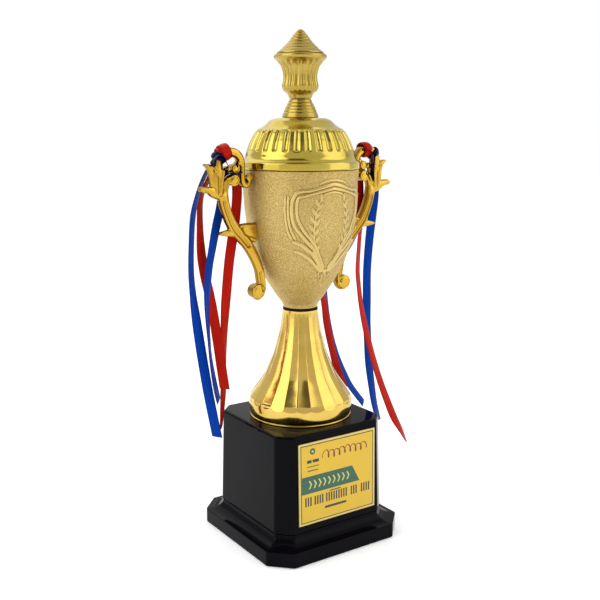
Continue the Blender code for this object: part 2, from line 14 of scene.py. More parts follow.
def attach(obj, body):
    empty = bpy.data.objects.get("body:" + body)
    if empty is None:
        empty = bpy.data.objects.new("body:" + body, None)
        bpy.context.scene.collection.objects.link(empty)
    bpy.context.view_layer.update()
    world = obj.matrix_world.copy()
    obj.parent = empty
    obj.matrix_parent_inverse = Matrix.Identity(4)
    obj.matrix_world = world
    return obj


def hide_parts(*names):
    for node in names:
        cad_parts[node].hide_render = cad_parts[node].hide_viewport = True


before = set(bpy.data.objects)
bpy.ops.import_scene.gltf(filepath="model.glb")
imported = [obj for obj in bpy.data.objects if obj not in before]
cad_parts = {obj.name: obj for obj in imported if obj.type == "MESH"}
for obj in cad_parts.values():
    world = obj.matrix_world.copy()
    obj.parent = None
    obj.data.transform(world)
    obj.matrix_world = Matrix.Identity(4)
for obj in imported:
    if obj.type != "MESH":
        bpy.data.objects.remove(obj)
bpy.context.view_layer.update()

MM = 0.001
CUP_BODY = "plinth_and_cup"
LID_BODY = "lid"
# The air between neighbouring pieces.
GAP = 0.3

# Half sizes, corner radii and heights of the plinth and its plate.
FOOT_HALF = 52.2
FOOT_CORNER = 22.0
FOOT_TOP = 17.2
BLOCK_HALF = 41.95
BLOCK_CORNER = 15.0
CORNER_EDGE = 3.0
BLOCK_DRAFT = 0.0203
BLOCK_TOP = 81.2
PLATE_HALF = 30.1
PLATE_BOTTOM = 22.5
PLATE_TOP = 76.3
PLATE_FRONT = 1.1

# Heights of the turned pieces' joints, and the holes for the rod and the stud.
BELL_TOP = 152.6
CUP_BOTTOM = 154.3
CUP_FLOOR = 160.0
CUP_RIM = 243.8
LID_SEAT = 244.1
LID_TOP = 275.6
FINIAL_WAIST = 287.6
URN_TOP = 315.0
FINIAL_TIP = 330.0
ROD_HOLE = 3.4
STUD_HOLE = 2.4

# Flutes round each piece, and how far the first one is turned from -Y.
BELL_FLUTES, BELL_TURN = 24, math.radians(7.5)
LID_FLUTES, LID_TURN = 30, math.radians(4.0)
URN_FLUTES = 20

RIBBON_WIDTH = 6.35
RIBBON_THICKNESS = 0.24

CAMERA_PLACE = (-0.3204, -0.4715, 0.2686)
CAMERA_AIM = (0.5515, 0.8122, -0.1902)
CAMERA_LENS = 52.8
LIGHT_AIM = Vector((0.0, 0.0, 0.15))
WHITE = (1.0, 1.0, 1.0, 1.0)


# ---------------------------------------------------------------- geometry

def spline(points, position):
    """A Catmull-Rom curve through points of any dimension, at a position counted in points."""
    last = len(points) - 1
    index = min(int(position), last - 1)
    part = position - index
    before, start, end, after = (
        np.array(points[min(max(index + step, 0), last)], float) for step in (-1, 0, 1, 2)
    )
    return 0.5 * (
        2 * start + (end - before) * part + (2 * before - 5 * start + 4 * end - after) * part ** 2
        + (3 * start - before - 3 * end + after) * part ** 3
    )


def spline_run(points, steps):
    """A smooth curve through points, with so many steps from each to the next."""
    last = len(points) - 1
    return np.array([spline(points, index / steps) for index in range(last * steps + 1)])


def lengths_along(line):
    """The distance travelled to each point of a polyline."""
    return np.concatenate(([0.0], np.cumsum(np.linalg.norm(np.diff(line, axis=0), axis=1))))


def unit_rows(vectors):
    """Each row scaled to a length of 1."""
    return vectors / np.linalg.norm(vectors, axis=1)[:, None]


def runs_along(line):
    """The direction of travel at each point of a polyline."""
    return unit_rows(np.gradient(line, axis=0))


def squared_up(wides, runs):
    """Width directions turned square to the directions of travel."""
    return unit_rows(wides - runs * np.einsum("ij,ij->i", wides, runs)[:, None])


def level_ring(reach, angles, height):
    """A level ring of points, at a reach from the axis that is one number or one per angle."""
    return np.stack([reach * np.sin(angles), -reach * np.cos(angles), np.full(len(angles), height)], 1)


def trimmed(line, head, tail):
    """A polyline with a length taken off each end."""
    along = lengths_along(line)
    start = min(head, 0.45 * along[-1])
    end = along[-1] - min(tail, 0.45 * along[-1])
    inner = line[(along > start + 0.02) & (along < end - 0.02)]
    ends = [[np.interp(place, along, line[:, axis]) for axis in (0, 1)] for place in (start, end)]
    return np.vstack([ends[:1], inner, ends[1:]])


def outline(points, step=0.9):
    """A turned outline, smooth through its (r, z) points, with a rounded corner at each (r, z, fillet)."""
    runs = [[points[0][:2]]]
    fillets = [0.0]
    for point in points[1:]:
        runs[-1].append(point[:2])
        if len(point) == 3:
            runs.append([point[:2]])
            fillets.append(point[2])
    fillets.append(0.0)
    pieces = []
    for number, run in enumerate(runs):
        span = np.linalg.norm(np.diff(np.array(run, float), axis=0), axis=1).max()
        line = spline_run(run, max(1, math.ceil(span / step)))
        line = trimmed(line, fillets[number], fillets[number + 1])
        if pieces:
            corner = np.array(run[0], float)
            first, last = pieces[-1][-1], line[0]
            pieces.append(np.array([
                (1 - t) ** 2 * first + 2 * t * (1 - t) * corner + t ** 2 * last for t in (0.25, 0.5, 0.75)
            ]))
        pieces.append(line)
    return np.vstack(pieces)


def grid_faces(rows, columns, wrap_rows):
    """Quads between rows of points that each go right round."""
    row = np.arange(rows if wrap_rows else rows - 1)[:, None]
    column = np.arange(columns)[None, :]
    after = (column + 1) % columns
    below = (row + 1) % rows
    quads = np.stack(np.broadcast_arrays(
        row * columns + column, row * columns + after, below * columns + after, below * columns + column
    ), axis=-1)
    return quads.reshape(-1, 4)


def mesh_from_rings(name, rings, closed=False):
    """A mesh in millimetres from an array of rings: closed into a loop of rings, or capped at both ends."""
    rings = np.asarray(rings, float)
    rows, columns = rings.shape[:2]
    faces = grid_faces(rows, columns, closed).tolist()
    if not closed:
        faces.append(list(range(columns))[::-1])
        faces.append(list(range((rows - 1) * columns, rows * columns)))
    mesh = bpy.data.meshes.new(name)
    mesh.from_pydata(rings.reshape(-1, 3).tolist(), [], faces)
    return mesh


def face_outward(mesh):
    """Turns a closed mesh's faces outward, by the sign of its volume."""
    mesh.calc_loop_triangles()
    count = len(mesh.loop_triangles)
    corners = np.empty(count * 3, np.int32)
    mesh.loop_triangles.foreach_get("vertices", corners)
    places = np.empty(len(mesh.vertices) * 3)
    mesh.vertices.foreach_get("co", places)
    a, b, c = places.reshape(-1, 3)[corners.reshape(-1, 3)].transpose(1, 0, 2)
    if np.einsum("ij,ij->i", a, np.cross(b, c)).sum() < 0:
        mesh.flip_normals()


def add_piece(name, mesh, finish, body=CUP_BODY, replaces=(), weighted=False):
    """Makes a finished piece from a mesh in millimetres: material, body and the CAD node it shows."""
    mesh.transform(Matrix.Scale(MM, 4))
    face_outward(mesh)
    mesh.shade_smooth()
    mesh.materials.append(finish)
    made = bpy.data.objects.new(name, mesh)
    bpy.context.scene.collection.objects.link(made)
    if weighted:
        made.modifiers.new("even_shading", "WEIGHTED_NORMAL").weight = 100
    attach(made, body)
    if replaces:
        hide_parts(*replaces)
    return made


def even_angles(count):
    """Angles right round, from -Y towards +X."""
    return np.arange(count) * 2 * math.pi / count


def turned(name, line, angles, dip=None, closed=True):
    """A turned mesh. dip(radius, height, angles) gives how far the surface sinks round a ring."""
    rings = []
    for radius, height in line:
        reach = radius if dip is None else radius - dip(radius, height, angles)
        rings.append(level_ring(reach, angles, height))
    return mesh_from_rings(name, rings, closed)


def smoothstep(low, high, value):
    """0 below low, 1 above high, and a smooth rise between."""
    part = np.clip((value - low) / (high - low), 0.0, 1.0)
    return part * part * (3 - 2 * part)


def flute_place(angles, count):
    """Where each angle lies in its flute: 0 in the middle, 1 on the rib."""
    return np.abs((angles * count / (2 * math.pi)) % 1.0 * 2 - 1)


def hollow(place, rib=0.12):
    """A round hollow between narrow flat ribs, from 0 on the rib to 1 in the middle."""
    return np.clip(1 - (place / (1 - rib)) ** 2, 0.0, 1.0)


def square_ring(half, corner, height):
    """A square ring with its corners cut flat, on the tangent of a round corner of that radius.

    The cut's two edges are softened to CORNER_EDGE, and its flats and sides are divided.
    """
    edge_steps, cut_steps, side_steps = 6, 4, 8
    cut = (2 - math.sqrt(2)) * corner
    near = half - cut - CORNER_EDGE * math.tan(math.pi / 8)
    far = half - CORNER_EDGE
    ring = []
    for quarter in range(4):
        turn = math.pi / 2 * quarter
        arcs = []
        for edge, centre in enumerate(((far, near), (near, far))):
            angles = math.pi / 4 * (edge + np.arange(edge_steps + 1) / edge_steps)
            arcs.append(np.array(centre) + CORNER_EDGE * np.stack([np.cos(angles), np.sin(angles)], 1))
        flat = np.linspace(arcs[0][-1], arcs[1][0], cut_steps + 1)[1:-1]
        side = np.linspace((near, half), (-near, half), side_steps + 1)[1:-1]
        part = np.vstack([arcs[0], flat, arcs[1], side])
        spin = np.array([[math.cos(turn), math.sin(turn)], [-math.sin(turn), math.cos(turn)]])
        ring.append(part @ spin)
    ring = np.vstack(ring)
    return np.hstack([ring, np.full((len(ring), 1), height)])


def block_half(height):
    """The block's half size, which tapers upward by its draft."""
    return BLOCK_HALF + BLOCK_DRAFT * ((FOOT_TOP + BLOCK_TOP) / 2 - height)


# ---------------------------------------------------------------- materials

def colour(red, green, blue):
    """A linear colour from its red, green and blue as seen, 0 to 255."""
    def linear(value):
        part = value / 255
        return part / 12.92 if part <= 0.04045 else ((part + 0.055) / 1.055) ** 2.4
    return (linear(red), linear(green), linear(blue), 1.0)


def colours(*tones):
    """Several linear colours from (red, green, blue) as seen."""
    return [colour(*tone) for tone in tones]


def add_node(tree, kind, inputs=(), **settings):
    """Adds a shader node, then sets or links its inputs, given as (name or number, value) pairs."""
    made = tree.nodes.new("ShaderNode" + kind)
    for key, value in settings.items():
        setattr(made, key, value)
    for key, value in inputs:
        if isinstance(value, bpy.types.NodeSocket):
            tree.links.new(value, made.inputs[key])
        else:
            made.inputs[key].default_value = value
    return made


def new_material(name, **constants):
    """A Principled material with constants set on its own sockets. Returns it, its tree and its shader."""
    made = bpy.data.materials.new(name)
    made.use_nodes = True
    tree = made.node_tree
    shader = tree.nodes["Principled BSDF"]
    for key, value in constants.items():
        shader.inputs[key.replace("_", " ")].default_value = value
    return made, tree, shader


def place_of(tree):
    """The point's place on the object, in metres."""
    return add_node(tree, "TexCoord").outputs["Object"]


def noise(tree, place, scale, detail=2.0, roughness=0.5, distortion=0.0):
    """Cloudy noise from 0 to 1."""
    inputs = [("Vector", place), ("Scale", scale), ("Detail", detail), ("Roughness", roughness)]
    return add_node(tree, "TexNoise", inputs + [("Distortion", distortion)]).outputs["Fac"]


def remap(tree, value, from_low, from_high, to_low=0.0, to_high=1.0):
    """A value stretched from one range to another and held at its ends."""
    ends = [("From Min", from_low), ("From Max", from_high), ("To Min", to_low), ("To Max", to_high)]
    return add_node(tree, "MapRange", [("Value", value)] + ends).outputs["Result"]


def blend_colours(tree, factor, first, second, mode="MIX"):
    """One colour into another."""
    made = add_node(tree, "Mix", [(0, factor), (6, first), (7, second)], data_type="RGBA", blend_type=mode)
    return made.outputs[2]


def maths(tree, operation, first, second=0.0):
    """One arithmetic step."""
    return add_node(tree, "Math", [(0, first), (1, second)], operation=operation).outputs[0]


def bump(tree, height, strength, distance):
    """A bumped normal."""
    inputs = [("Height", height), ("Strength", strength), ("Distance", distance)]
    return add_node(tree, "Bump", inputs).outputs["Normal"]


def connect(tree, shader, **sources):
    """Links sources to the shader's inputs."""
    for key, value in sources.items():
        tree.links.new(value, shader.inputs[key.replace("_", " ")])


def plated_gold(name, tone, warm, deep, roughness, edges=0.0):
    """Vacuum-plated gold: cloudy tone, handled gloss, faint orange peel, dark flecks and painted shade in
    hollow places.

    Edges is how much painted shade lies on faces turned away from the piece's front and back.
    """
    made, tree, shader = new_material(name, Metallic=1.0)
    tone, warm, deep = colours(tone, warm, deep)
    place = place_of(tree)
    clouds = remap(tree, noise(tree, place, 55.0, 3.0), 0.35, 0.7)
    mottled = blend_colours(tree, clouds, tone, warm)
    point = add_node(tree, "NewGeometry").outputs["Pointiness"]
    # Painted shade: the colour darkens towards deep where pointiness shows a hollow or crease.
    hollow_shade = remap(tree, point, 0.44, 0.495, 0.75, 0.0)
    flecks = remap(tree, noise(tree, place, 900.0, 2.0), 0.62, 0.8, 0.0, 0.25)
    shade = maths(tree, "MAXIMUM", hollow_shade, flecks)
    if edges:
        # Painted shade on faces that turn sideways, away from the front and back.
        normal = add_node(tree, "TexCoord").outputs["Normal"]
        facing = add_node(tree, "SeparateXYZ", [("Vector", normal)]).outputs["Y"]
        edge = remap(tree, maths(tree, "ABSOLUTE", facing), 0.25, 0.75, edges, 0.0)
        shade = maths(tree, "MAXIMUM", shade, edge)
    smudges = noise(tree, place, 90.0, 6.0, 0.62, 0.4)
    peel = noise(tree, place, 420.0, 2.0)
    connect(
        tree, shader, Base_Color=blend_colours(tree, shade, mottled, deep),
        Roughness=remap(tree, smudges, 0.3, 0.75, roughness - 0.04, roughness + 0.07),
        Normal=bump(tree, peel, 0.18, 0.00006),
    )
    return made


def sanded_gold(name, tone, warm, deep):
    """Gold over a sand-grained wall, with painted shade in the relief's hollow places. The polish attribute
    tells where the relief is smooth.
    """
    made, tree, shader = new_material(name, Metallic=1.0)
    tone, warm, deep = colours(tone, warm, deep)
    place = place_of(tree)
    polish = add_node(tree, "Attribute", attribute_name="polish").outputs["Fac"]
    clouds = remap(tree, noise(tree, place, 40.0, 3.0), 0.35, 0.7)
    grain = noise(tree, place, 1050.0, 3.0, 0.6)
    cells = add_node(tree, "TexVoronoi", [("Vector", place), ("Scale", 1350.0)]).outputs["Distance"]
    sand = maths(tree, "ADD", maths(tree, "MULTIPLY", grain, 0.7), maths(tree, "MULTIPLY", cells, 0.5))
    loose = remap(tree, polish, 0.2, 0.9, 1.0, 0.2)
    pits = maths(tree, "MULTIPLY", remap(tree, sand, 0.45, 0.75, 0.5, 0.0), loose)
    point = add_node(tree, "NewGeometry").outputs["Pointiness"]
    # Painted shade: the colour darkens towards deep where pointiness shows a hollow in the relief.
    hollow_shade = remap(tree, point, 0.465, 0.498, 0.95, 0.0)
    mottled = blend_colours(tree, clouds, tone, warm)
    rough = remap(tree, polish, 0.1, 0.9, 0.5, 0.24)
    uneven = remap(tree, grain, 0.3, 0.7, -0.05, 0.05)
    height = maths(tree, "MULTIPLY", sand, remap(tree, polish, 0.1, 0.9, 1.0, 0.18))
    connect(
        tree, shader, Base_Color=blend_colours(tree, maths(tree, "MAXIMUM", pits, hollow_shade), mottled, deep),
        Roughness=maths(tree, "ADD", rough, uneven), Normal=bump(tree, height, 0.9, 0.00045),
    )
    return made


def moulded_black(name):
    """Glossy black moulded plastic: faint flow marks, dust and hairline scratches."""
    made, tree, shader = new_material(name, Metallic=0.0, IOR=1.47, Specular_IOR_Level=0.055)
    place = place_of(tree)
    flow = remap(tree, noise(tree, place, 18.0, 3.0, 0.5, 0.6), 0.3, 0.7)
    base = blend_colours(tree, flow, *colours((6, 5, 9), (11, 9, 15)))
    dust = remap(tree, noise(tree, place, 2600.0, 1.0), 0.74, 0.82, 0.0, 0.3)
    stretched = add_node(tree, "Mapping", [("Vector", place), ("Scale", (60.0, 60.0, 2200.0))]).outputs[0]
    scratches = remap(tree, noise(tree, stretched, 1.0, 3.0), 0.66, 0.74, 0.0, 0.12)
    haze = remap(tree, noise(tree, place, 60.0, 5.0), 0.3, 0.7, 0.05, 0.12)
    connect(
        tree, shader, Base_Color=blend_colours(tree, dust, base, colour(44, 43, 48)),
        Roughness=maths(tree, "ADD", haze, scratches),
        Normal=bump(tree, noise(tree, place, 38.0, 2.0), 0.06, 0.0004),
    )
    return made


def printed(name, ink, paler, gloss=0.3, metallic=0.0):
    """Printed plate ink: fine print dots, slight unevenness and a brushed backing showing through."""
    made, tree, shader = new_material(name, Metallic=metallic, IOR=1.5, Coat_Weight=0.4, Coat_Roughness=0.12)
    ink, paler = colours(ink, paler)
    place = place_of(tree)
    dots = add_node(tree, "TexVoronoi", [("Vector", place), ("Scale", 4200.0)]).outputs["Distance"]
    brushed = add_node(tree, "Mapping", [("Vector", place), ("Scale", (40.0, 40.0, 2600.0))]).outputs[0]
    lines = noise(tree, brushed, 1.0, 3.0)
    uneven = remap(tree, noise(tree, place, 70.0, 4.0), 0.3, 0.7, 0.0, 0.5)
    mix = maths(tree, "ADD", remap(tree, dots, 0.2, 0.7, 0.0, 0.35), uneven)
    connect(
        tree, shader, Base_Color=blend_colours(tree, mix, ink, paler),
        Roughness=remap(tree, lines, 0.3, 0.7, gloss - 0.06, gloss + 0.08),
        Normal=bump(tree, lines, 0.03, 0.00001),
    )
    return made


def satin(name, face, shadow, glint):
    """Polyester satin: cross weave, long glossy floats, painted sheen streaks along the ribbon and a woven
    edge.
    """
    face, shadow, glint = colours(face, shadow, glint)
    made, tree, shader = new_material(
        name, Metallic=0.0, IOR=1.5, Specular_IOR_Level=0.2, Specular_Tint=glint, Anisotropic=0.45
    )
    flat = add_node(tree, "UVMap", uv_map="ribbon").outputs["UV"]
    parts = add_node(tree, "SeparateXYZ", [("Vector", flat)])
    across, along = parts.outputs["X"], parts.outputs["Y"]
    weft = maths(tree, "SINE", maths(tree, "MULTIPLY", along, 2 * math.pi / 0.34))
    warp = maths(tree, "SINE", maths(tree, "MULTIPLY", across, 2 * math.pi / 0.22))
    weave = maths(tree, "ADD", maths(tree, "MULTIPLY", weft, 0.6), maths(tree, "MULTIPLY", warp, 0.4))
    stretched = add_node(tree, "Mapping", [("Vector", flat), ("Scale", (2.2, 0.05, 1.0))]).outputs[0]
    streaks = noise(tree, stretched, 1.0, 3.0)
    edge = RIBBON_WIDTH / 2
    rim = remap(tree, maths(tree, "ABSOLUTE", across), edge - 0.55, edge - 0.3)
    # Painted sheen: long streaks along the ribbon shift the face colour towards the shadow colour.
    body = blend_colours(tree, remap(tree, streaks, 0.3, 0.7, 0.0, 0.6), face, shadow)
    threads = blend_colours(tree, remap(tree, weave, -1.0, 1.0, 0.22, 0.0), body, shadow)
    gloss = remap(tree, streaks, 0.3, 0.7, 0.30, 0.42)
    gloss = maths(tree, "ADD", gloss, maths(tree, "MULTIPLY", rim, 0.18))
    connect(
        tree, shader, Base_Color=blend_colours(tree, maths(tree, "MULTIPLY", rim, 0.45), threads, shadow),
        Roughness=gloss, Normal=bump(tree, weave, 0.35, 0.00004),
    )
    return made


def felted(name):
    """Pressed felt: matted fibres in every direction."""
    made, tree, shader = new_material(name, Metallic=0.0, Sheen_Weight=0.5, Sheen_Roughness=0.6)
    place = place_of(tree)
    fibres = noise(tree, place, 1800.0, 6.0, 0.75, 2.5)
    tufts = noise(tree, place, 260.0, 3.0)
    connect(
        tree, shader, Base_Color=blend_colours(tree, fibres, *colours((18, 18, 20), (52, 51, 54))),
        Roughness=remap(tree, tufts, 0.3, 0.7, 0.85, 1.0), Normal=bump(tree, fibres, 0.9, 0.0005),
    )
    return made


def cast_concrete(name):
    """Cast concrete: sand specks, cement clouds and small air holes with painted shade inside them."""
    made, tree, shader = new_material(name, Metallic=0.0)
    place = place_of(tree)
    clouds = noise(tree, place, 45.0, 5.0)
    specks = noise(tree, place, 1400.0, 3.0)
    holes = add_node(tree, "TexVoronoi", [("Vector", place), ("Scale", 260.0)]).outputs["Distance"]
    pores = remap(tree, holes, 0.08, 0.2, 1.0, 0.0)
    cement = blend_colours(tree, clouds, *colours((140, 137, 130), (172, 168, 160)))
    sandy = blend_colours(tree, remap(tree, specks, 0.6, 0.75, 0.0, 0.6), cement, colour(95, 90, 82))
    height = maths(tree, "SUBTRACT", specks, pores)
    connect(
        # Painted shade: the air holes are coloured darker than the cement around them.
        tree, shader, Base_Color=blend_colours(tree, pores, sandy, colour(70, 68, 64)),
        Roughness=remap(tree, clouds, 0.3, 0.7, 0.82, 0.95), Normal=bump(tree, height, 0.7, 0.0006),
    )
    return made


def zinc_plated(name):
    """Bright zinc on turned steel: spangle, turning lines and handling marks."""
    made, tree, shader = new_material(name, Metallic=1.0)
    place = place_of(tree)
    spangle = add_node(tree, "TexVoronoi", [("Vector", place), ("Scale", 700.0)]).outputs["Color"]
    stretched = add_node(tree, "Mapping", [("Vector", place), ("Scale", (80.0, 80.0, 3000.0))]).outputs[0]
    lines = noise(tree, stretched, 1.0, 3.0)
    worn = remap(tree, lines, 0.3, 0.7)
    grey = blend_colours(tree, worn, *colours((188, 190, 192), (150, 152, 156)))
    tinted = blend_colours(tree, 0.12, grey, spangle, "SOFT_LIGHT")
    connect(
        tree, shader, Base_Color=tinted, Roughness=remap(tree, lines, 0.3, 0.7, 0.22, 0.4),
        Normal=bump(tree, lines, 0.25, 0.00005),
    )
    return made


def moulded_rubber(name):
    """Black rubber: fine matt grain with a bloom."""
    made, tree, shader = new_material(name, Metallic=0.0, Specular_IOR_Level=0.15)
    place = place_of(tree)
    bloom = remap(tree, noise(tree, place, 160.0, 4.0), 0.4, 0.7)
    grain = noise(tree, place, 2400.0, 2.0)
    connect(
        tree, shader, Base_Color=blend_colours(tree, bloom, *colours((8, 7, 7), (20, 17, 14))),
        Roughness=remap(tree, grain, 0.3, 0.7, 0.55, 0.75), Normal=bump(tree, grain, 0.4, 0.0001),
    )
    return made


# Each gold's third colour is its painted shade in hollow places, and on the handle's side faces, as well as
# its flecks and sand pits.
GOLD_BRIGHT = plated_gold("gold_bright", (220, 187, 98), (212, 177, 84), (142, 98, 24), roughness=0.14)
GOLD_PALE = plated_gold("gold_pale", (200, 180, 86), (190, 167, 70), (100, 74, 12), roughness=0.15)
GOLD_FINIAL = plated_gold("gold_finial", (183, 159, 80), (172, 146, 64), (104, 78, 16), roughness=0.26)
GOLD_HANDLE = plated_gold(
    "gold_handle", (206, 168, 64), (196, 152, 50), (92, 50, 8), roughness=0.22, edges=0.6
)
GOLD_SATIN = sanded_gold("gold_satin", (211, 187, 121), (203, 177, 108), (126, 92, 36))
BLACK = moulded_black("black_gloss")
FELT = felted("pad_felt")
CONCRETE = cast_concrete("cast_concrete")
ZINC = zinc_plated("zinc_steel")
RUBBER = moulded_rubber("black_rubber")
PLATE_EDGE = printed("plate_edge", (208, 184, 96), (216, 196, 120), gloss=0.34, metallic=0.3)
PLATE_YELLOW = printed("plate_yellow", (214, 173, 12), (218, 180, 26), gloss=0.34, metallic=0.1)
PLATE_GREEN = printed("plate_green", (10, 78, 52), (18, 88, 62))
PLATE_RED = printed("plate_red", (112, 14, 22), (124, 24, 30))
PLATE_DARK = printed("plate_dark", (12, 26, 20), (22, 38, 28))
PLATE_LINE = printed("plate_line", (26, 22, 10), (40, 34, 18))
PLATE_PALE = printed("plate_pale", (186, 186, 96), (200, 198, 116))
SATIN = {
    "red": satin("satin_red", (202, 32, 18), (112, 6, 8), (255, 110, 84)),
    "blue": satin("satin_blue", (4, 68, 176), (3, 26, 96), (96, 150, 255)),
}
# The same ribbons where they lie bunched in their own shade.
SHADED_SATIN = {
    "red": satin("satin_red_shaded", (96, 10, 18), (40, 2, 8), (200, 60, 60)),
    "blue": satin("satin_blue_shaded", (14, 18, 58), (4, 5, 24), (60, 80, 170)),
}


# ---------------------------------------------------------------- camera, light and floor

def camera():
    """A standing viewer's camera, a little above the cup and to the left of the plate."""
    data = bpy.data.cameras.new("camera")
    data.lens = CAMERA_LENS
    data.sensor_width = 36.0
    made = bpy.data.objects.new("camera", data)
    made.location = CAMERA_PLACE
    made.rotation_euler = Vector(CAMERA_AIM).to_track_quat("-Z", "Y").to_euler()
    bpy.context.scene.collection.objects.link(made)
    bpy.context.scene.camera = made


def studio():
    """A white studio with a dark panel high in front and dim corners low at the sides."""
    world = bpy.data.worlds.new("studio")
    bpy.context.scene.world = world
    world.use_nodes = True
    tree = world.node_tree
    tree.nodes.clear()
    direction = add_node(tree, "TexCoord").outputs["Generated"]

    def towards_share(unit):
        """The cosine of the angle between the view direction and another one."""
        share = add_node(tree, "VectorMath", [(0, direction), (1, unit)], operation="DOT_PRODUCT")
        return share.outputs["Value"]

    def patch(towards, core, rim):
        """1 within core degrees of a direction, and 0 beyond rim degrees."""
        unit = Vector(towards).normalized()
        low, high = math.cos(math.radians(rim)), math.cos(math.radians(core))
        return remap(tree, towards_share(unit), low, high)

    height = add_node(tree, "SeparateXYZ", [("Vector", direction)]).outputs["Z"]
    walls = blend_colours(
        tree, remap(tree, height, -0.1, 0.9), (0.76, 0.75, 0.74, 1.0), (0.86, 0.86, 0.86, 1.0)
    )
    # Each dim gap: its direction, its core and rim in degrees, and how dark it is.
    gaps = (
        ((-1.0, 0.05, 0.10), 16.0, 26.0, 0.06),
        ((-0.20, -1.0, -0.02), 12.0, 26.0, 0.1),
        ((1.0, -0.30, 0.10), 10.0, 20.0, 0.35),
        ((0.35, 1.0, 0.20), 12.0, 24.0, 0.5),
    )
    for towards, core, rim, weight in gaps:
        dark = maths(tree, "MULTIPLY", patch(towards, core, rim), weight)
        walls = blend_colours(tree, dark, walls, (0.02, 0.018, 0.015, 1.0))
    lamps = (((-1.0, 0.1, 0.6), 8.0, 26.0), ((0.9, -0.8, 0.62), 6.0, 26.0))
    for towards, core, rim in lamps:
        walls = blend_colours(tree, patch(towards, core, rim), walls, (1.1, 1.09, 1.07, 1.0))
    beside = maths(tree, "ABSOLUTE", towards_share((-0.72, 0.69, 0.0)))
    panel = remap(tree, beside, 0.24, 0.26, 0.86, 0.0)
    panel = maths(tree, "MULTIPLY", panel, remap(tree, height, 0.60, 0.63))
    ahead = remap(tree, towards_share((-0.69, -0.72, 0.0)), 0.10, 0.13)
    walls = blend_colours(tree, maths(tree, "MULTIPLY", panel, ahead), walls, (0.05, 0.042, 0.03, 1.0))
    seen = add_node(tree, "LightPath").outputs["Is Camera Ray"]
    around = add_node(tree, "Background", [("Color", walls), ("Strength", 0.95)]).outputs[0]
    behind = add_node(tree, "Background", [("Color", WHITE), ("Strength", 1.0)]).outputs[0]
    mixed = add_node(tree, "MixShader", [(0, seen), (1, around), (2, behind)]).outputs[0]
    add_node(tree, "OutputWorld", [("Surface", mixed)])


def softbox(name, place, size, power):
    """A square softbox aimed at the middle of the trophy."""
    data = bpy.data.lights.new(name, "AREA")
    data.size = size
    data.energy = power
    made = bpy.data.objects.new(name, data)
    made.location = place
    made.rotation_euler = (LIGHT_AIM - Vector(place)).to_track_quat("-Z", "Y").to_euler()
    bpy.context.scene.collection.objects.link(made)


def floor():
    """A pale, softly mottled floor."""
    made, tree, shader = new_material(
        "floor_paper", Metallic=0.0, Roughness=0.9, Emission_Color=WHITE, Emission_Strength=0.32
    )
    place = place_of(tree)
    mottle = noise(tree, place, 3.0, 4.0)
    pale, dimmer = (0.95, 0.95, 0.95, 1.0), (0.92, 0.92, 0.92, 1.0)
    connect(
        tree, shader, Base_Color=blend_colours(tree, mottle, pale, dimmer),
        Normal=bump(tree, noise(tree, place, 900.0, 3.0), 0.1, 0.0001),
    )
    sides = 64
    reach = 9.0
    turns = even_angles(sides)
    mesh = bpy.data.meshes.new("floor")
    mesh.from_pydata(level_ring(reach, turns, 0.0).tolist(), [], [list(range(sides))])
    mesh.materials.append(made)
    ground = bpy.data.objects.new("floor", mesh)
    bpy.context.scene.collection.objects.link(ground)


camera()
studio()
softbox("key_light", (-1.5, 0.2, 0.9), size=1.6, power=12.0)
softbox("fill_light", (0.95, -0.85, 0.75), size=1.4, power=5.6)
softbox("back_light", (0.15, 1.1, 1.0), size=1.5, power=4.6)
floor()
bpy.context.scene.view_settings.view_transform = "Standard"
bpy.context.scene.view_settings.look = "None"


# ---------------------------------------------------------------- ribbons

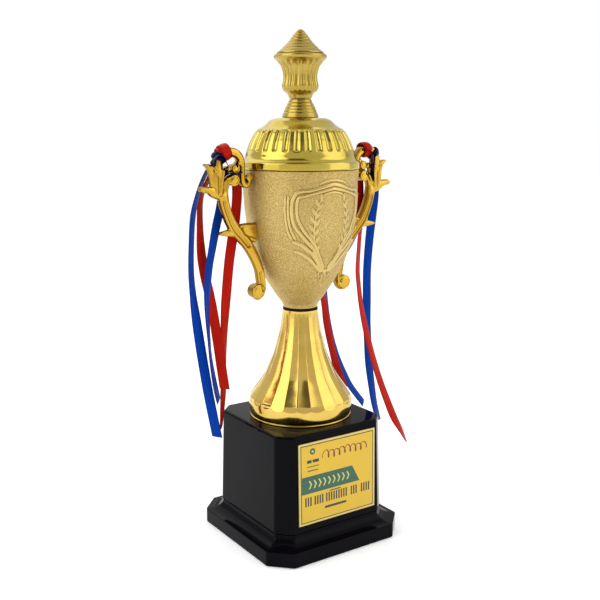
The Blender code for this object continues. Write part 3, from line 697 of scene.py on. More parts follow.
# Tails as (x, y, z, width direction in degrees from +X), from the loop down, as in the frame.
TAIL_ROUTES = {
    "left_blue_outer": [
        (-61.5, 7.2, 247.0, 35), (-65.6, 8.6, 239.0, 38), (-69.4, 9.2, 229.3, 36), (-72.7, 9.4, 217.3, 32),
        (-74.2, 9.4, 202.1, 32), (-74.9, 9.5, 183.5, 30), (-74.0, 9.5, 167.8, 24), (-72.0, 9.6, 151.6, 2),
        (-69.1, 9.9, 131.9, -14), (-66.3, 10.3, 115.0, -24), (-63.3, 10.5, 97.8, -30),
        (-58.3, 10.5, 71.9, -34),
    ],
    "left_red_outer": [
        (-55.5, 12.4, 246.0, 30), (-60.2, 13.6, 237.0, 34), (-64.9, 14.1, 225.9, 32),
        (-66.5, 12.6, 207.4, 24), (-65.5, 13.3, 191.7, 2), (-63.4, 13.4, 178.8, -10),
        (-61.5, 12.0, 167.8, -16), (-59.5, 10.1, 152.6, -20), (-57.2, 8.6, 132.5, -24),
        (-55.2, 8.9, 118.9, -24), (-52.6, 9.6, 103.7, -20),
    ],
    "left_blue_inner": [
        (-51.8, 7.0, 244.0, -5), (-53.0, 7.0, 233.0, 0), (-54.9, 7.0, 222.0, 6), (-58.4, 7.0, 208.7, 8),
        (-61.4, 7.0, 195.2, 14), (-63.7, 7.5, 182.8, 16), (-65.0, 7.8, 167.1, 24), (-65.0, 7.9, 151.0, 38),
        (-64.6, 7.2, 138.0, 46), (-64.1, 6.6, 127.0, 46), (-62.9, 5.6, 115.0, 40), (-61.3, 5.3, 105.6, 36),
        (-59.2, 5.9, 97.7, 38),
    ],
    "left_red_inner": [
        (-44.5, 7.4, 244.0, -20), (-42.6, 7.6, 231.5, -14), (-43.7, 8.0, 215.9, -14),
        (-46.0, 7.7, 203.5, -22), (-48.9, 7.9, 186.5, -16), (-50.8, 8.8, 165.6, -12),
        (-50.3, 12.2, 149.6, 6), (-49.8, 14.3, 136.6, 22), (-50.3, 14.5, 123.5, 28),
        (-50.7, 14.5, 110.2, 28), (-51.2, 14.6, 96.9, 28), (-53.0, 14.6, 75.8, 46),
    ],
    "right_blue_outer": [
        (65.0, 8.6, 246.0, -20), (67.6, 8.8, 235.0, -24), (68.4, 9.0, 223.8, -26), (67.0, 9.2, 209.9, -18),
        (65.0, 9.5, 192.4, -14), (63.8, 10.0, 171.1, -10), (63.8, 9.8, 149.5, -12), (63.7, 9.3, 134.9, -6),
        (63.8, 8.1, 120.0, -4), (64.4, 7.3, 104.9, -4), (65.8, 5.9, 89.6, 4), (67.8, 4.4, 73.9, 12),
        (71.1, 3.3, 61.0, 24),
    ],
    "right_red_outer": [
        (61.5, 5.8, 244.0, 10), (63.0, 5.8, 231.0, 20), (60.4, 5.6, 217.0, 28), (54.9, 6.2, 203.0, 30),
        (52.6, 5.6, 186.6, 28), (51.7, 5.3, 172.5, 26), (51.5, 3.5, 161.8, 26), (51.5, 1.2, 150.9, 24),
        (52.3, -1.2, 139.7, 18), (53.7, -3.6, 128.4, 14), (55.5, -6.2, 117.0, 16), (58.1, -8.4, 105.3, 14),
        (61.1, -10.9, 93.4, 12), (65.2, -12.9, 81.1, 8), (69.8, -15.2, 68.5, 6), (74.9, -18.1, 57.8, 30),
        (78.9, -18.8, 49.7, 52),
    ],
    "right_red_inner": [
        (54.6, 9.6, 244.0, 10), (57.0, 10.6, 231.0, 6), (56.6, 11.0, 213.0, 4), (52.7, 18.4, 193.0, 8),
        (46.0, 28.2, 174.0, 16), (43.0, 34.1, 156.0, 18), (45.0, 34.6, 142.6, 10), (46.5, 34.4, 131.4, 4),
        (48.5, 33.5, 120.0, 4), (50.9, 32.4, 108.5, 6), (53.6, 31.2, 96.8, -6), (56.6, 30.6, 88.0, -8),
        (59.9, 29.9, 79.6, -8),
    ],
    "right_blue_inner": [
        (58.6, 9.0, 244.0, 40), (61.2, 9.4, 231.0, 44), (60.8, 9.4, 216.0, 44), (59.4, 12.0, 205.0, 42),
        (58.2, 16.2, 195.0, 38), (57.0, 23.0, 185.0, 32), (54.0, 31.0, 175.0, 26), (48.6, 38.8, 158.0, 20),
        (49.4, 39.5, 141.0, 14), (52.6, 39.4, 124.0, 12), (55.9, 38.7, 111.0, 12), (59.6, 36.9, 99.0, 12),
        (64.0, 35.2, 88.6, 14), (68.7, 33.4, 79.0, 16), (77.0, 28.7, 66.0, 17),
    ],
}


def strip_mesh(name, centres, wides, flats, widths, crown, slants):
    """A ribbon as a thin closed strip: crowned across, with its two ends cut at a slant, and a UV in mm."""
    across = np.linspace(1, -1, 9)
    along = lengths_along(centres)
    runs = runs_along(centres)
    rings = []
    places = []
    for index, centre in enumerate(centres):
        near_start = max(0.0, 1 - along[index] / RIBBON_WIDTH) * slants[0]
        near_end = max(0.0, 1 - (along[-1] - along[index]) / RIBBON_WIDTH) * slants[1]
        ring = []
        for face in (1, -1):
            for part in across[::face]:
                lift = face * RIBBON_THICKNESS / 2 + crown * (1 - part * part)
                aside = part * widths[index] / 2
                shift = (near_end - near_start) * aside
                ring.append(centre + wides[index] * aside + flats[index] * lift + runs[index] * shift)
                places.append((aside, along[index] + shift))
        rings.append(ring)
    mesh = mesh_from_rings(name, rings)
    layer = mesh.uv_layers.new(name="ribbon")
    for loop in mesh.loops:
        layer.data[loop.index].uv = places[loop.vertex_index]
    return mesh


def swept(route, steps):
    """Centres, width directions and face directions along a ribbon route."""
    stops = spline_run(route, steps)
    centres = stops[:, :3]
    runs = runs_along(centres)
    turns = np.radians(stops[:, 3])
    wides = squared_up(np.stack([np.cos(turns), np.sin(turns), np.zeros(len(turns))], 1), runs)
    return centres, wides, np.cross(runs, wides)


def ribbon_tail(route_name, route):
    """A hanging end of ribbon."""
    centres, wides, flats = swept(route, steps=10)
    tint = route_name.split("_")[1]
    slant = 0.35 if "outer" in route_name else -0.3
    widths = np.full(len(centres), RIBBON_WIDTH)
    mesh = strip_mesh("tail", centres, wides, flats, widths, crown=0.25, slants=(0.0, slant))
    node = f"ribbon_tail_{route_name}"
    made = add_piece(f"satin_tail_{route_name}", mesh, SATIN[tint], replaces=[node])


for route_name, route in TAIL_ROUTES.items():
    ribbon_tail(route_name, route)


# ---------------------------------------------------------------- handles

# Handle strokes as (x, z, half width), and the half thickness of each.
HANDLE_STROKES = {
    "stem": (3.2, [
        (57.6, 231.0, 3.4), (56.0, 222.6, 3.2), (53.0, 214.6, 3.3), (49.4, 208.2, 3.7), (45.0, 203.4, 3.7),
        (40.6, 198.2, 3.5), (36.9, 192.5, 3.3), (34.0, 186.9, 3.1), (32.0, 181.5, 2.9), (31.0, 176.1, 2.9),
        (30.3, 171.0, 2.8), (30.6, 166.4, 2.3), (32.6, 163.9, 1.8), (35.0, 163.4, 1.4),
    ]),
    "thorn": (2.4, [(47.5, 206.0, 3.0), (53.0, 206.0, 2.4), (57.5, 205.8, 1.5), (60.8, 205.7, 0.5)]),
    "bracket": (3.0, [(48.5, 205.2, 4.0), (44.0, 206.6, 4.6), (39.5, 206.4, 5.2), (33.5, 205.0, 6.6)]),
    "leaf_low": (2.7, [
        (58.5, 229.8, 3.6), (63.0, 231.2, 3.6), (67.0, 232.6, 2.3), (70.2, 233.1, 2.0), (72.0, 233.2, 1.8),
        (73.0, 233.3, 1.0),
    ]),
    "leaf_high": (2.5, [
        (60.5, 230.0, 3.2), (62.6, 235.6, 3.2), (63.2, 240.6, 3.1), (64.6, 244.6, 2.7), (67.0, 246.8, 1.6),
        (69.6, 247.9, 0.6),
    ]),
    "arch": (3.4, [
        (60.4, 231.0, 3.0), (60.9, 239.6, 3.2), (60.8, 246.8, 3.3), (59.7, 251.4, 3.2), (56.7, 254.5, 3.1),
        (52.3, 255.2, 3.0), (48.2, 254.3, 2.8), (45.2, 251.4, 2.4), (44.0, 247.4, 1.8), (44.2, 242.4, 1.7),
        (44.0, 238.4, 1.8), (42.8, 235.6, 1.9), (40.7, 234.9, 1.8), (39.2, 236.6, 1.7),
    ]),
    "curl": (2.9, [(44.8, 250.0, 1.6), (46.8, 248.2, 1.6), (48.4, 246.6, 1.6)]),
    "c_scroll": (2.8, [
        (57.6, 228.0, 2.9), (56.4, 233.2, 2.7), (55.0, 236.8, 2.5), (52.8, 239.2, 2.3), (50.4, 239.6, 2.1),
    ]),
    "finger": (3.7, [(60.0, 229.0, 1.5), (58.9, 238.0, 1.4), (57.6, 244.6, 1.6)]),
    "bud": (2.4, [(58.2, 243.6, 1.4), (55.8, 244.8, 1.3), (53.4, 245.4, 1.3)]),
}
# Round scroll ends as (x, z, radius, half thickness).
HANDLE_DISCS = {
    "foot_disc": (34.0, 167.7, 4.7, 3.9),
    "rim_disc": (39.4, 239.8, 2.6, 3.8),
    "curl_disc": (49.2, 245.2, 2.8, 3.8),
    "bud_disc": (54.2, 245.0, 1.9, 3.0),
    "c_disc": (50.2, 238.2, 3.6, 3.6),
}
# Where each ribbon is looped round its arch, as the stretch between two arch points.
LOOP_STRETCH = {
    "left": {"blue": (2.9, 3.3), "red": (3.42, 4.7)},
    "right": {"blue": (3.14, 3.64), "red": (4.4, 5.6)},
}
# The bunched width of each loop.
LOOP_WIDTH = {"left": {"blue": 3.4, "red": 6.35}, "right": {"blue": 3.4, "red": 4.6}}
# Slack ribbon folded in and under each arch, as (x, y, z, width direction) from end to end, and its width.
LOOP_FOLDS = [
    ("left", "blue", 5.0, [
        (-64.9, -2.0, 247.6, 96), (-65.0, -4.4, 250.6, 84), (-62.9, -5.2, 253.3, 76),
        (-59.6, -5.2, 252.6, 70), (-57.4, -5.0, 249.6, 66), (-55.6, -4.0, 246.4, 60),
        (-54.6, -2.0, 243.8, 50),
    ]),
    ("left", "blue", 4.6, [
        (-57.4, 1.0, 243.6, 84), (-54.6, -3.2, 242.6, 88), (-51.0, -4.2, 241.8, 92),
        (-47.8, -3.6, 242.6, 96), (-45.2, 0.4, 243.4, 100),
    ]),
    ("left", "red", 4.2, [
        (-53.4, -3.8, 252.8, 70), (-50.8, -4.3, 251.8, 66), (-48.7, -3.9, 249.9, 60),
        (-47.7, -2.6, 247.2, 54),
    ]),
    ("right", "red", 4.6, [
        (47.6, -4.8, 255.8, 60), (52.4, -5.0, 254.6, 70), (55.2, -4.6, 251.0, 80), (55.8, -3.4, 246.2, 84),
    ]),
    ("right", "blue", 4.8, [
        (57.8, -3.4, 251.8, 70), (56.2, -4.8, 249.2, 76), (55.6, -4.8, 244.8, 82), (56.0, -3.8, 239.6, 86),
        (57.4, -1.6, 235.4, 90),
    ]),
]

# The cup's outer wall as (radius, height), from the rim down.
CUP_WALL = [
    (36.9, CUP_RIM), (36.8, 236.7), (36.8, 231.0), (36.4, 224.0), (36.1, 219.0), (35.2, 212.2),
    (34.3, 205.0), (32.2, 195.5), (29.0, 186.0), (25.0, 177.0), (20.7, 169.5), (18.5, 166.1), (16.8, 163.5),
    (14.3, 160.1), (12.3, 157.4), (11.5, 155.7),
]


def cup_radius(height):
    """The cup wall's radius at a height."""
    wall = np.array(CUP_WALL)[::-1]
    return np.interp(height, wall[:, 1], wall[:, 0])


def stroke_frame(points, position):
    """Centre (x, z), run and half width of a handle stroke at a position."""
    last = len(points) - 1
    here = spline(points, position)
    run = (spline(points, min(position + 0.05, last)) - spline(points, max(position - 0.05, 0.0)))[:2]
    return here[:2], run / np.linalg.norm(run), here[2]


def cast_section(centre, run, half_width, half_thickness, side, sides=20, squareness=0.72):
    """A cast section, between a round and a soft rectangle, in the plane across the stroke and Y."""
    turns = (np.arange(sides) + 0.5) * 2 * math.pi / sides
    across = half_width * np.sign(np.cos(turns)) * np.abs(np.cos(turns)) ** squareness
    deep = half_thickness * np.sign(np.sin(turns)) * np.abs(np.sin(turns)) ** squareness
    return np.stack([side * (centre[0] + run[1] * across), deep, centre[1] - run[0] * across], 1)


def merge_meshes(name, meshes):
    """Several meshes as one, still as separate shells."""
    places, faces = [], []
    for mesh in meshes:
        start = len(places)
        places += [tuple(vertex.co) for vertex in mesh.vertices]
        faces += [[start + index for index in polygon.vertices] for polygon in mesh.polygons]
        bpy.data.meshes.remove(mesh)
    made = bpy.data.meshes.new(name)
    made.from_pydata(places, [], faces)
    return made


def fused(mesh, voxel, smoothing):
    """Overlapping closed shells as one cast skin, with soft fillets where they meet."""
    worker = bpy.data.objects.new("fusing", mesh)
    bpy.context.scene.collection.objects.link(worker)
    skin = worker.modifiers.new("skin", "REMESH")
    skin.mode = "VOXEL"
    skin.voxel_size = voxel
    soften = worker.modifiers.new("soften", "SMOOTH")
    soften.factor = 0.5
    soften.iterations = smoothing
    ready = worker.evaluated_get(bpy.context.evaluated_depsgraph_get())
    made = bpy.data.meshes.new_from_object(ready)
    bpy.data.objects.remove(worker)
    bpy.data.meshes.remove(mesh)
    return made


def nearest_on_stroke(points, places):
    """For each (x, z) place: the stroke position nearest to it and the offset across, in half widths."""
    last = len(points) - 1
    positions = np.linspace(0, last, 12 * last + 1)
    stops = np.array([spline(points, position) for position in positions])
    best = np.full(len(places), np.inf)
    where = np.zeros(len(places))
    offset = np.zeros(len(places))
    runs = runs_along(stops[:, :2])
    for position, stop, run in zip(positions, stops, runs):
        away = places - stop[:2]
        reach = np.hypot(away[:, 0], away[:, 1])
        closer = reach < best
        best[closer] = reach[closer]
        where[closer] = position
        offset[closer] = (away[closer, 0] * run[1] - away[closer, 1] * run[0]) / stop[2]
    return where, offset, best


def carve_handle(mesh, side):
    """Channels along the stem, ribs on the leaves, dished discs and the seat against the cup."""
    count = len(mesh.vertices)
    co = np.empty(count * 3)
    mesh.vertices.foreach_get("co", co)
    co = co.reshape(-1, 3)
    flat = np.stack([side * co[:, 0], co[:, 2]], 1)
    depth = np.zeros(count)

    def face_share(half_thickness):
        """How much of a point lies on a broad face rather than on an edge."""
        return smoothstep(0.45 * half_thickness, 0.8 * half_thickness, np.abs(co[:, 1]))

    def on_stroke(stroke):
        """A stroke's half thickness, and each point's position along it, offset across it and distance."""
        half_thickness, points = HANDLE_STROKES[stroke]
        return half_thickness, *nearest_on_stroke(points, flat)

    half_thickness, where, offset, reach = on_stroke("stem")
    inside = reach < 4.2
    for start, end, deepest in ((0.5, 5.3, 1.3), (8.1, 10.8, 0.9)):
        span = smoothstep(start, start + 0.25, where) * (1 - smoothstep(end - 0.12, end, where))
        channel = np.clip(1 - ((offset + 0.18) / 0.42) ** 2, 0, 1) ** 0.6
        rib = np.exp(-((offset - 0.52) / 0.2) ** 4)
        depth += inside * span * (deepest * channel - 0.35 * rib) * face_share(half_thickness)
    for leaf, ribs in (("leaf_low", 1.5), ("leaf_high", 2.0), ("thorn", 1.0)):
        half_thickness, where, offset, reach = on_stroke(leaf)
        last = len(HANDLE_STROKES[leaf][1]) - 1
        span = smoothstep(0.35 * last, 0.6 * last, where) * (reach < 4.4)
        wave = 0.5 - 0.5 * np.cos(2 * math.pi * ribs * offset)
        span *= (1 - smoothstep(0.8, 1.1, np.abs(offset))) * face_share(half_thickness * 0.8)
        depth += 0.45 * wave * span
    half_thickness, where, offset, reach = on_stroke("c_scroll")
    span = smoothstep(0.2, 0.8, where) * (1 - smoothstep(3.3, 3.8, where)) * (reach < 3.0)
    depth += 0.5 * span * np.clip(1 - (offset / 0.45) ** 2, 0, 1) * face_share(half_thickness)
    half_thickness, where, offset, reach = on_stroke("bracket")
    panel = smoothstep(0.6, 1.1, where) * (reach < 6.8) * np.clip(1 - (offset / 0.72) ** 6, 0, 1)
    depth += 0.8 * panel * face_share(half_thickness)
    slot = np.exp(-((flat[:, 0] - 61.3) / 0.6) ** 4)
    slot *= smoothstep(229.5, 231.5, flat[:, 1]) * (1 - smoothstep(240.0, 242.5, flat[:, 1]))
    pit = np.exp(-(np.hypot(flat[:, 0] - 63.6, flat[:, 1] - 244.2) / 0.9) ** 4)
    depth += (0.8 * slot + 0.6 * pit) * face_share(2.8)
    for x, z, radius, half_thickness in HANDLE_DISCS.values():
        away = np.hypot(flat[:, 0] - x, flat[:, 1] - z) / radius
        ring = np.exp(-((away - 0.72) / 0.09) ** 2)
        depth += 0.3 * ring * (np.abs(co[:, 1]) > half_thickness * 0.8)
    co[:, 1] -= np.sign(co[:, 1]) * np.minimum(depth, 0.6 * np.abs(co[:, 1]))

    reach = np.hypot(co[:, 0], co[:, 1])
    seat = cup_radius(co[:, 2]) + GAP
    inside = (reach < seat) & (co[:, 2] < CUP_RIM + 1.0)
    co[inside, :2] *= (seat[inside] / reach[inside])[:, None]
    mesh.vertices.foreach_set("co", co.reshape(-1))
    mesh.update()


def handle(side_name, side):
    """A cast scroll handle."""
    shells = []
    for half_thickness, points in HANDLE_STROKES.values():
        last = len(points) - 1
        count = 6 * last
        rings = [
            cast_section(*stroke_frame(points, last * index / count), half_thickness, side)
            for index in range(count + 1)
        ]
        shells.append(mesh_from_rings("stroke", rings))
    turns = even_angles(48)
    for x, z, radius, half_thickness in HANDLE_DISCS.values():
        edge = [(radius - 0.9, 0.0), (radius - 0.25, 0.2), (radius, 0.7)]
        line = [(reach, half_thickness - sunk) for reach, sunk in edge]
        line += [(reach, sunk - half_thickness) for reach, sunk in edge[::-1]]
        round_line = np.stack([np.cos(turns), np.zeros(len(turns)), np.sin(turns)], 1)
        rings = [np.array([side * x, deep, z]) + reach * round_line for reach, deep in line]
        shells.append(mesh_from_rings("disc", rings))
    for shell in shells:
        face_outward(shell)
    mesh = fused(merge_meshes("handle", shells), voxel=0.36, smoothing=5)
    carve_handle(mesh, side)
    add_piece(f"cast_handle_{side_name}", mesh, GOLD_HANDLE, replaces=[f"handle_{side_name}"])


def ribbon_loop(side_name, side, tint):
    """Ribbon wound round the arch: overlapping slanted turns, each a little proud of the one before."""
    half_thickness, points = HANDLE_STROKES["arch"]
    start, end = LOOP_STRETCH[side_name][tint]
    turns = 2.5 if tint == "red" else 1.5
    count = int(48 * turns)
    centres, wides, flats = [], [], []
    for index in range(count + 1):
        part = index / count
        centre, run, half_width = stroke_frame(points, start + (end - start) * (0.35 + 0.3 * part))
        angle = 2 * math.pi * turns * part - 0.5 * math.pi
        proud = 0.55 + 0.45 * turns * part + 0.25 * math.sin(angle * 1.5 + 0.8)
        across = (half_width + proud) * math.cos(angle)
        deep = (half_thickness + proud) * math.sin(angle)
        centres.append((side * (centre[0] + run[1] * across), deep, centre[1] - run[0] * across))
        tilt = 0.3 * math.sin(2 * math.pi * part * turns * 0.5 + 0.6)
        wides.append((side * run[0], tilt, run[1]))
        flats.append((side * run[1] * math.cos(angle), math.sin(angle), -run[0] * math.cos(angle)))
    centres = np.array(centres)
    wides = squared_up(np.array(wides), runs_along(centres))
    widths = LOOP_WIDTH[side_name][tint] * (1.04 + 0.08 * np.cos(np.linspace(0, 5 * math.pi, count + 1)))
    mesh = strip_mesh("loop", centres, wides, np.array(flats), widths, crown=0.5, slants=(0.0, 0.0))
    name = f"{side_name}_{tint}"
    finish = SATIN[tint] if tint == "red" else SHADED_SATIN[tint]
    add_piece(f"satin_loop_{name}", mesh, finish, replaces=[f"ribbon_loop_{name}"])


def ribbon_fold(name, tint, width, route):
    """A slack fold of ribbon beside a loop."""
    centres, wides, flats = swept(route, steps=8)
    widths = np.full(len(centres), width)
    mesh = strip_mesh("fold", centres, wides, flats, widths, crown=0.4, slants=(0.2, -0.2))
    add_piece(name, mesh, SHADED_SATIN[tint])


for side_name, side in (("left", -1), ("right", 1)):
    handle(side_name, side)
    for tint in LOOP_STRETCH[side_name]:
        ribbon_loop(side_name, side, tint)
for number, (side_name, tint, width, route) in enumerate(LOOP_FOLDS):
    ribbon_fold(f"satin_fold_{number}_{side_name}_{tint}", tint, width, route)


# ---------------------------------------------------------------- cup

# The relief as (azimuth in degrees from -Y, height) lines on its left half, with half width and rise.
RELIEF_LINES = [
    (0.75, 0.5, [
        (-48.2, 229.4), (-49.2, 224.0), (-49.2, 217.5), (-48.2, 211.0), (-46.2, 206.0), (-43.2, 202.4),
    ]),
    (0.75, 0.55, [
        (-45.4, 229.6), (-46.2, 224.0), (-46.2, 217.5), (-45.0, 211.0), (-42.2, 206.0), (-39.0, 202.0),
    ]),
    (1.0, 0.6, [
        (-4.0, 181.6), (-8.0, 184.5), (-14.0, 190.2), (-19.0, 195.6), (-25.5, 199.8), (-33.4, 205.2),
        (-39.0, 209.8), (-41.8, 214.0), (-42.6, 218.0), (-42.4, 224.0), (-40.2, 228.4), (-35.6, 231.6),
        (-24.0, 232.3), (-12.0, 234.2), (-5.0, 235.3), (0.0, 235.8),
    ]),
    (0.85, 0.75, [
        (-4.0, 183.6), (-8.0, 187.5), (-13.0, 192.6), (-17.5, 197.6), (-23.0, 202.0), (-29.6, 206.8),
        (-33.6, 210.8), (-36.4, 214.6), (-37.6, 218.6), (-37.4, 224.4), (-35.4, 228.0), (-29.0, 229.2),
        (-14.0, 231.6), (-2.0, 233.0), (0.0, 233.1),
    ]),
    (0.6, 0.5, [(-15.0, 236.4), (-10.0, 237.5), (-4.0, 238.2), (0.0, 238.3)]),
    (1.1, 0.6, [
        (-43.0, 200.6), (-39.0, 200.2), (-32.0, 198.4), (-26.0, 195.4), (-20.0, 192.8), (-14.0, 187.8),
        (-7.0, 183.0),
    ]),
    (1.0, 0.6, [
        (-41.4, 194.8), (-36.0, 194.0), (-29.0, 191.6), (-23.0, 189.0), (-15.0, 184.8), (-9.0, 182.0),
        (-5.0, 180.6),
    ]),
    (0.55, 0.42, [
        (-4.0, 181.6), (-9.0, 184.6), (-14.0, 189.4), (-17.6, 195.6), (-19.6, 202.0), (-20.0, 208.0),
        (-19.0, 214.0), (-17.6, 221.0), (-12.0, 228.6), (-6.0, 230.6), (0.0, 231.0),
    ]),
    (0.45, 0.45, [(-1.0, 181.0), (-5.4, 182.6), (-9.0, 180.6), (-6.4, 177.4), (-1.6, 179.6)]),
    (0.45, 0.4, [(-0.8, 180.4), (-3.2, 176.4), (-5.4, 173.4)]),
]
# Leaves beside the wreath's stem, as (azimuth, height) of the base and of the tip.
RELIEF_LEAVES = [
    ((-15.6, 191.6), (-20.0, 195.4)), ((-18.0, 196.6), (-23.4, 200.8)), ((-19.4, 201.8), (-25.0, 206.4)),
    ((-20.0, 207.0), (-25.4, 211.8)), ((-19.6, 212.0), (-24.8, 217.0)), ((-18.6, 217.0), (-23.2, 222.2)),
    ((-16.2, 222.4), (-19.6, 227.2)), ((-16.4, 194.4), (-12.6, 198.8)), ((-18.4, 199.8), (-14.2, 204.2)),
    ((-19.4, 205.0), (-14.8, 209.4)), ((-19.2, 210.4), (-14.4, 214.8)), ((-18.4, 215.6), (-13.8, 219.6)),
    ((-16.8, 220.8), (-12.2, 224.2)), ((-13.2, 226.0), (-14.0, 230.0)),
]
ROSETTE = (0.0, 181.0)
# How far round and how high the relief goes, and the mesh's steps across it and beyond it, in degrees.
RELIEF_REACH = 58.0
RELIEF_BOTTOM = 170.0
RELIEF_TOP = 241.0
FINE_TURN = 0.58
PLAIN_TURN = 2.4


def distance_to_line(places, line):
    """Distance from each place to a polyline, and the share of the polyline at the nearest point."""
    best = np.full(len(places), np.inf)
    share = np.zeros(len(places))
    spans = len(line) - 1
    for index in range(spans):
        start, end = line[index], line[index + 1]
        step = end - start
        part = np.clip(((places - start) @ step) / (step @ step), 0.0, 1.0)
        away = np.linalg.norm(places - start - part[:, None] * step, axis=1)
        closer = away < best
        best[closer] = away[closer]
        share[closer] = (index + part[closer]) / spans
    return best, share


def flattened(places):
    """(azimuth, height) places as millimetres along and up the wall, mirrored to the left half."""
    places = np.asarray(places, float)
    return np.stack([-np.abs(places[:, 0]) * math.pi / 180 * cup_radius(places[:, 1]), places[:, 1]], 1)


def relief_rise(azimuths, heights):
    """How far the shield, its bands, the wreath and the swags stand proud, in mm."""
    here = flattened(np.stack([azimuths, heights], 1))
    rise = np.zeros(len(here))
    for half_width, high, points in RELIEF_LINES:
        line = flattened(spline_run(points, 5))
        away, share = distance_to_line(here, line)
        ends = np.clip(np.minimum(share, 1 - share) * 9 + 0.25, 0.0, 1.0) if points[-1][0] != 0.0 else 1.0
        wide = half_width * ends
        band = high * np.clip(1 - (away / wide) ** 4, 0.0, 1.0) ** 0.6
        rise = np.maximum(rise, band)
    for base, tip in RELIEF_LEAVES:
        line = flattened(np.linspace(base, tip, 5))
        away, share = distance_to_line(here, line)
        wide = 0.2 + 0.95 * np.sin(math.pi * np.clip(share, 0.06, 0.94)) ** 0.8
        leaf = 0.45 * np.clip(1 - (away / wide) ** 2, 0.0, 1.0) ** 0.6
        vein = 0.14 * np.exp(-((away / 0.22) ** 2)) * (leaf > 0.15)
        rise = np.maximum(rise, leaf - vein)
    centre = flattened(np.array([ROSETTE]))[0]
    away = np.hypot(here[:, 0] - centre[0], here[:, 1] - centre[1])
    turn = np.arctan2(here[:, 1] - centre[1], here[:, 0] - centre[0])
    petals = 1.5 + 0.3 * np.cos(5 * turn)
    rise = np.maximum(rise, 0.6 * np.clip(1 - (away / petals) ** 2, 0.0, 1.0) ** 0.5)
    return rise


def cup():
    """The cup: sand-grained wall with its relief in front, plain inside."""
    front = np.radians(np.arange(-RELIEF_REACH, RELIEF_REACH, FINE_TURN))
    back = np.radians(np.arange(RELIEF_REACH, 360 - RELIEF_REACH, PLAIN_TURN))
    angles = np.concatenate([front, back])
    top = [(35.5, CUP_RIM - 0.05), (36.2, CUP_RIM, 0.4), (36.9, CUP_RIM - 0.1, 0.35)]
    foot = [(11.2, CUP_BOTTOM, 0.3), (ROD_HOLE, CUP_BOTTOM)]
    line = outline(top + CUP_WALL[1:] + foot, step=0.66)
    inside = outline([
        (ROD_HOLE, CUP_FLOOR), (11.5, CUP_FLOOR, 1.5), (17.4, 168.0), (23.2, 177.2), (27.3, 186.2),
        (30.5, 195.7), (32.9, 207.0), (34.5, 219.0), (35.2, 231.0), (35.3, CUP_RIM - 0.4),
    ], step=3.0)
    stations = np.vstack([line, inside])
    azimuths = np.degrees(angles)
    azimuths = np.where(azimuths > 180, azimuths - 360, azimuths)
    rises = np.zeros((len(stations), len(angles)))
    for row, (radius, height) in enumerate(line):
        if radius > 12.0 and RELIEF_BOTTOM < height < RELIEF_TOP:
            rises[row] = relief_rise(azimuths, np.full(len(azimuths), height))
    rings = []
    for row, (radius, height) in enumerate(stations):
        rings.append(level_ring(radius + rises[row], angles, height))
    mesh = mesh_from_rings("cup", rings, closed=True)
    polish = mesh.attributes.new("polish", "FLOAT", "POINT")
    inner = np.zeros((len(stations), len(angles)))
    inner[len(line):] = 1.0
    polish.data.foreach_set("value", np.clip(np.maximum(rises / 0.45, inner), 0, 1).reshape(-1))
    add_piece("sanded_cup", mesh, GOLD_SATIN, replaces=["cup_bowl"])


cup()


# ---------------------------------------------------------------- turned gold pieces

# The bell's outer radius as heights and the radii at them.
BELL_SKIN = ([89.0, 100.6, 117.2, 133.7, 149.6], [34.4, 29.4, 20.2, 14.9, 12.1])


def bell():
    """The bell stem: flutes that deepen downward and end in a scalloped edge over a smooth band."""
    line = outline([
        (ROD_HOLE, BELL_TOP), (11.75, BELL_TOP, 0.15), (11.75, 151.4), (11.95, 149.6), (12.45, 145.9),
        (13.05, 141.9), (13.8, 137.8), (14.9, 133.7), (15.9, 129.6), (17.0, 125.5), (18.4, 121.4),
        (20.2, 117.2), (21.8, 113.1), (23.8, 108.9), (26.5, 104.7), (29.4, 100.6), (32.3, 96.4),
        (33.7, 94.3), (34.3, 92.2), (34.5, 89.8), (34.4, 87.2), (34.1, 84.6), (33.6, 82.5, 0.15),
        (34.0, 82.2, 0.1), (34.0, BLOCK_TOP + GAP, 0.1), (31.6, BLOCK_TOP + GAP),
    ], step=0.6)
    inside = np.array([
        (32.2, 90.0), (27.2, 100.6), (18.2, 117.4), (12.9, 134.0), (10.4, 148.0), (ROD_HOLE, 148.6),
    ])
    stations = np.vstack([line, inside])

    def dip(radius, height, angles):
        """Sinks the outer wall between the ribs."""
        if radius < 11.7 or height < 88.0 or height > 151.5 or radius < 0.9 * np.interp(height, *BELL_SKIN):
            return 0.0 * angles
        place = flute_place(angles - BELL_TURN, BELL_FLUTES)
        floor_edge = 91.0 + 2.4 * (1 - np.sqrt(np.clip(1 - place ** 2, 0, 1)))
        fade = smoothstep(floor_edge, floor_edge + 1.6, height)
        fade *= 1 - 0.5 * smoothstep(148.0, 151.5, height)
        deepest = np.interp(height, [90, 104, 118, 135, 150], [0.34, 0.36, 0.28, 0.2, 0.15])
        return deepest * (hollow(place, 0.06) - 0.35 * np.exp(-(((1 - place) / 0.05) ** 2))) * fade

    mesh = turned("bell", stations, even_angles(18 * BELL_FLUTES), dip)
    add_piece("fluted_bell", mesh, GOLD_BRIGHT, replaces=["stem_bell"])


def gasket():
    """The rubber ring between bell and cup, bulging where it is squeezed."""
    low, high = BELL_TOP + GAP, BELL_TOP + GAP + 1.1
    line = outline([
        (ROD_HOLE, high), (11.1, high, 0.2), (11.6, (low + high) / 2), (11.1, low, 0.2), (ROD_HOLE, low),
    ], step=0.4)
    mesh = turned("gasket", line, even_angles(96))
    add_piece("squeezed_gasket", mesh, RUBBER, replaces=["neck_gasket"])


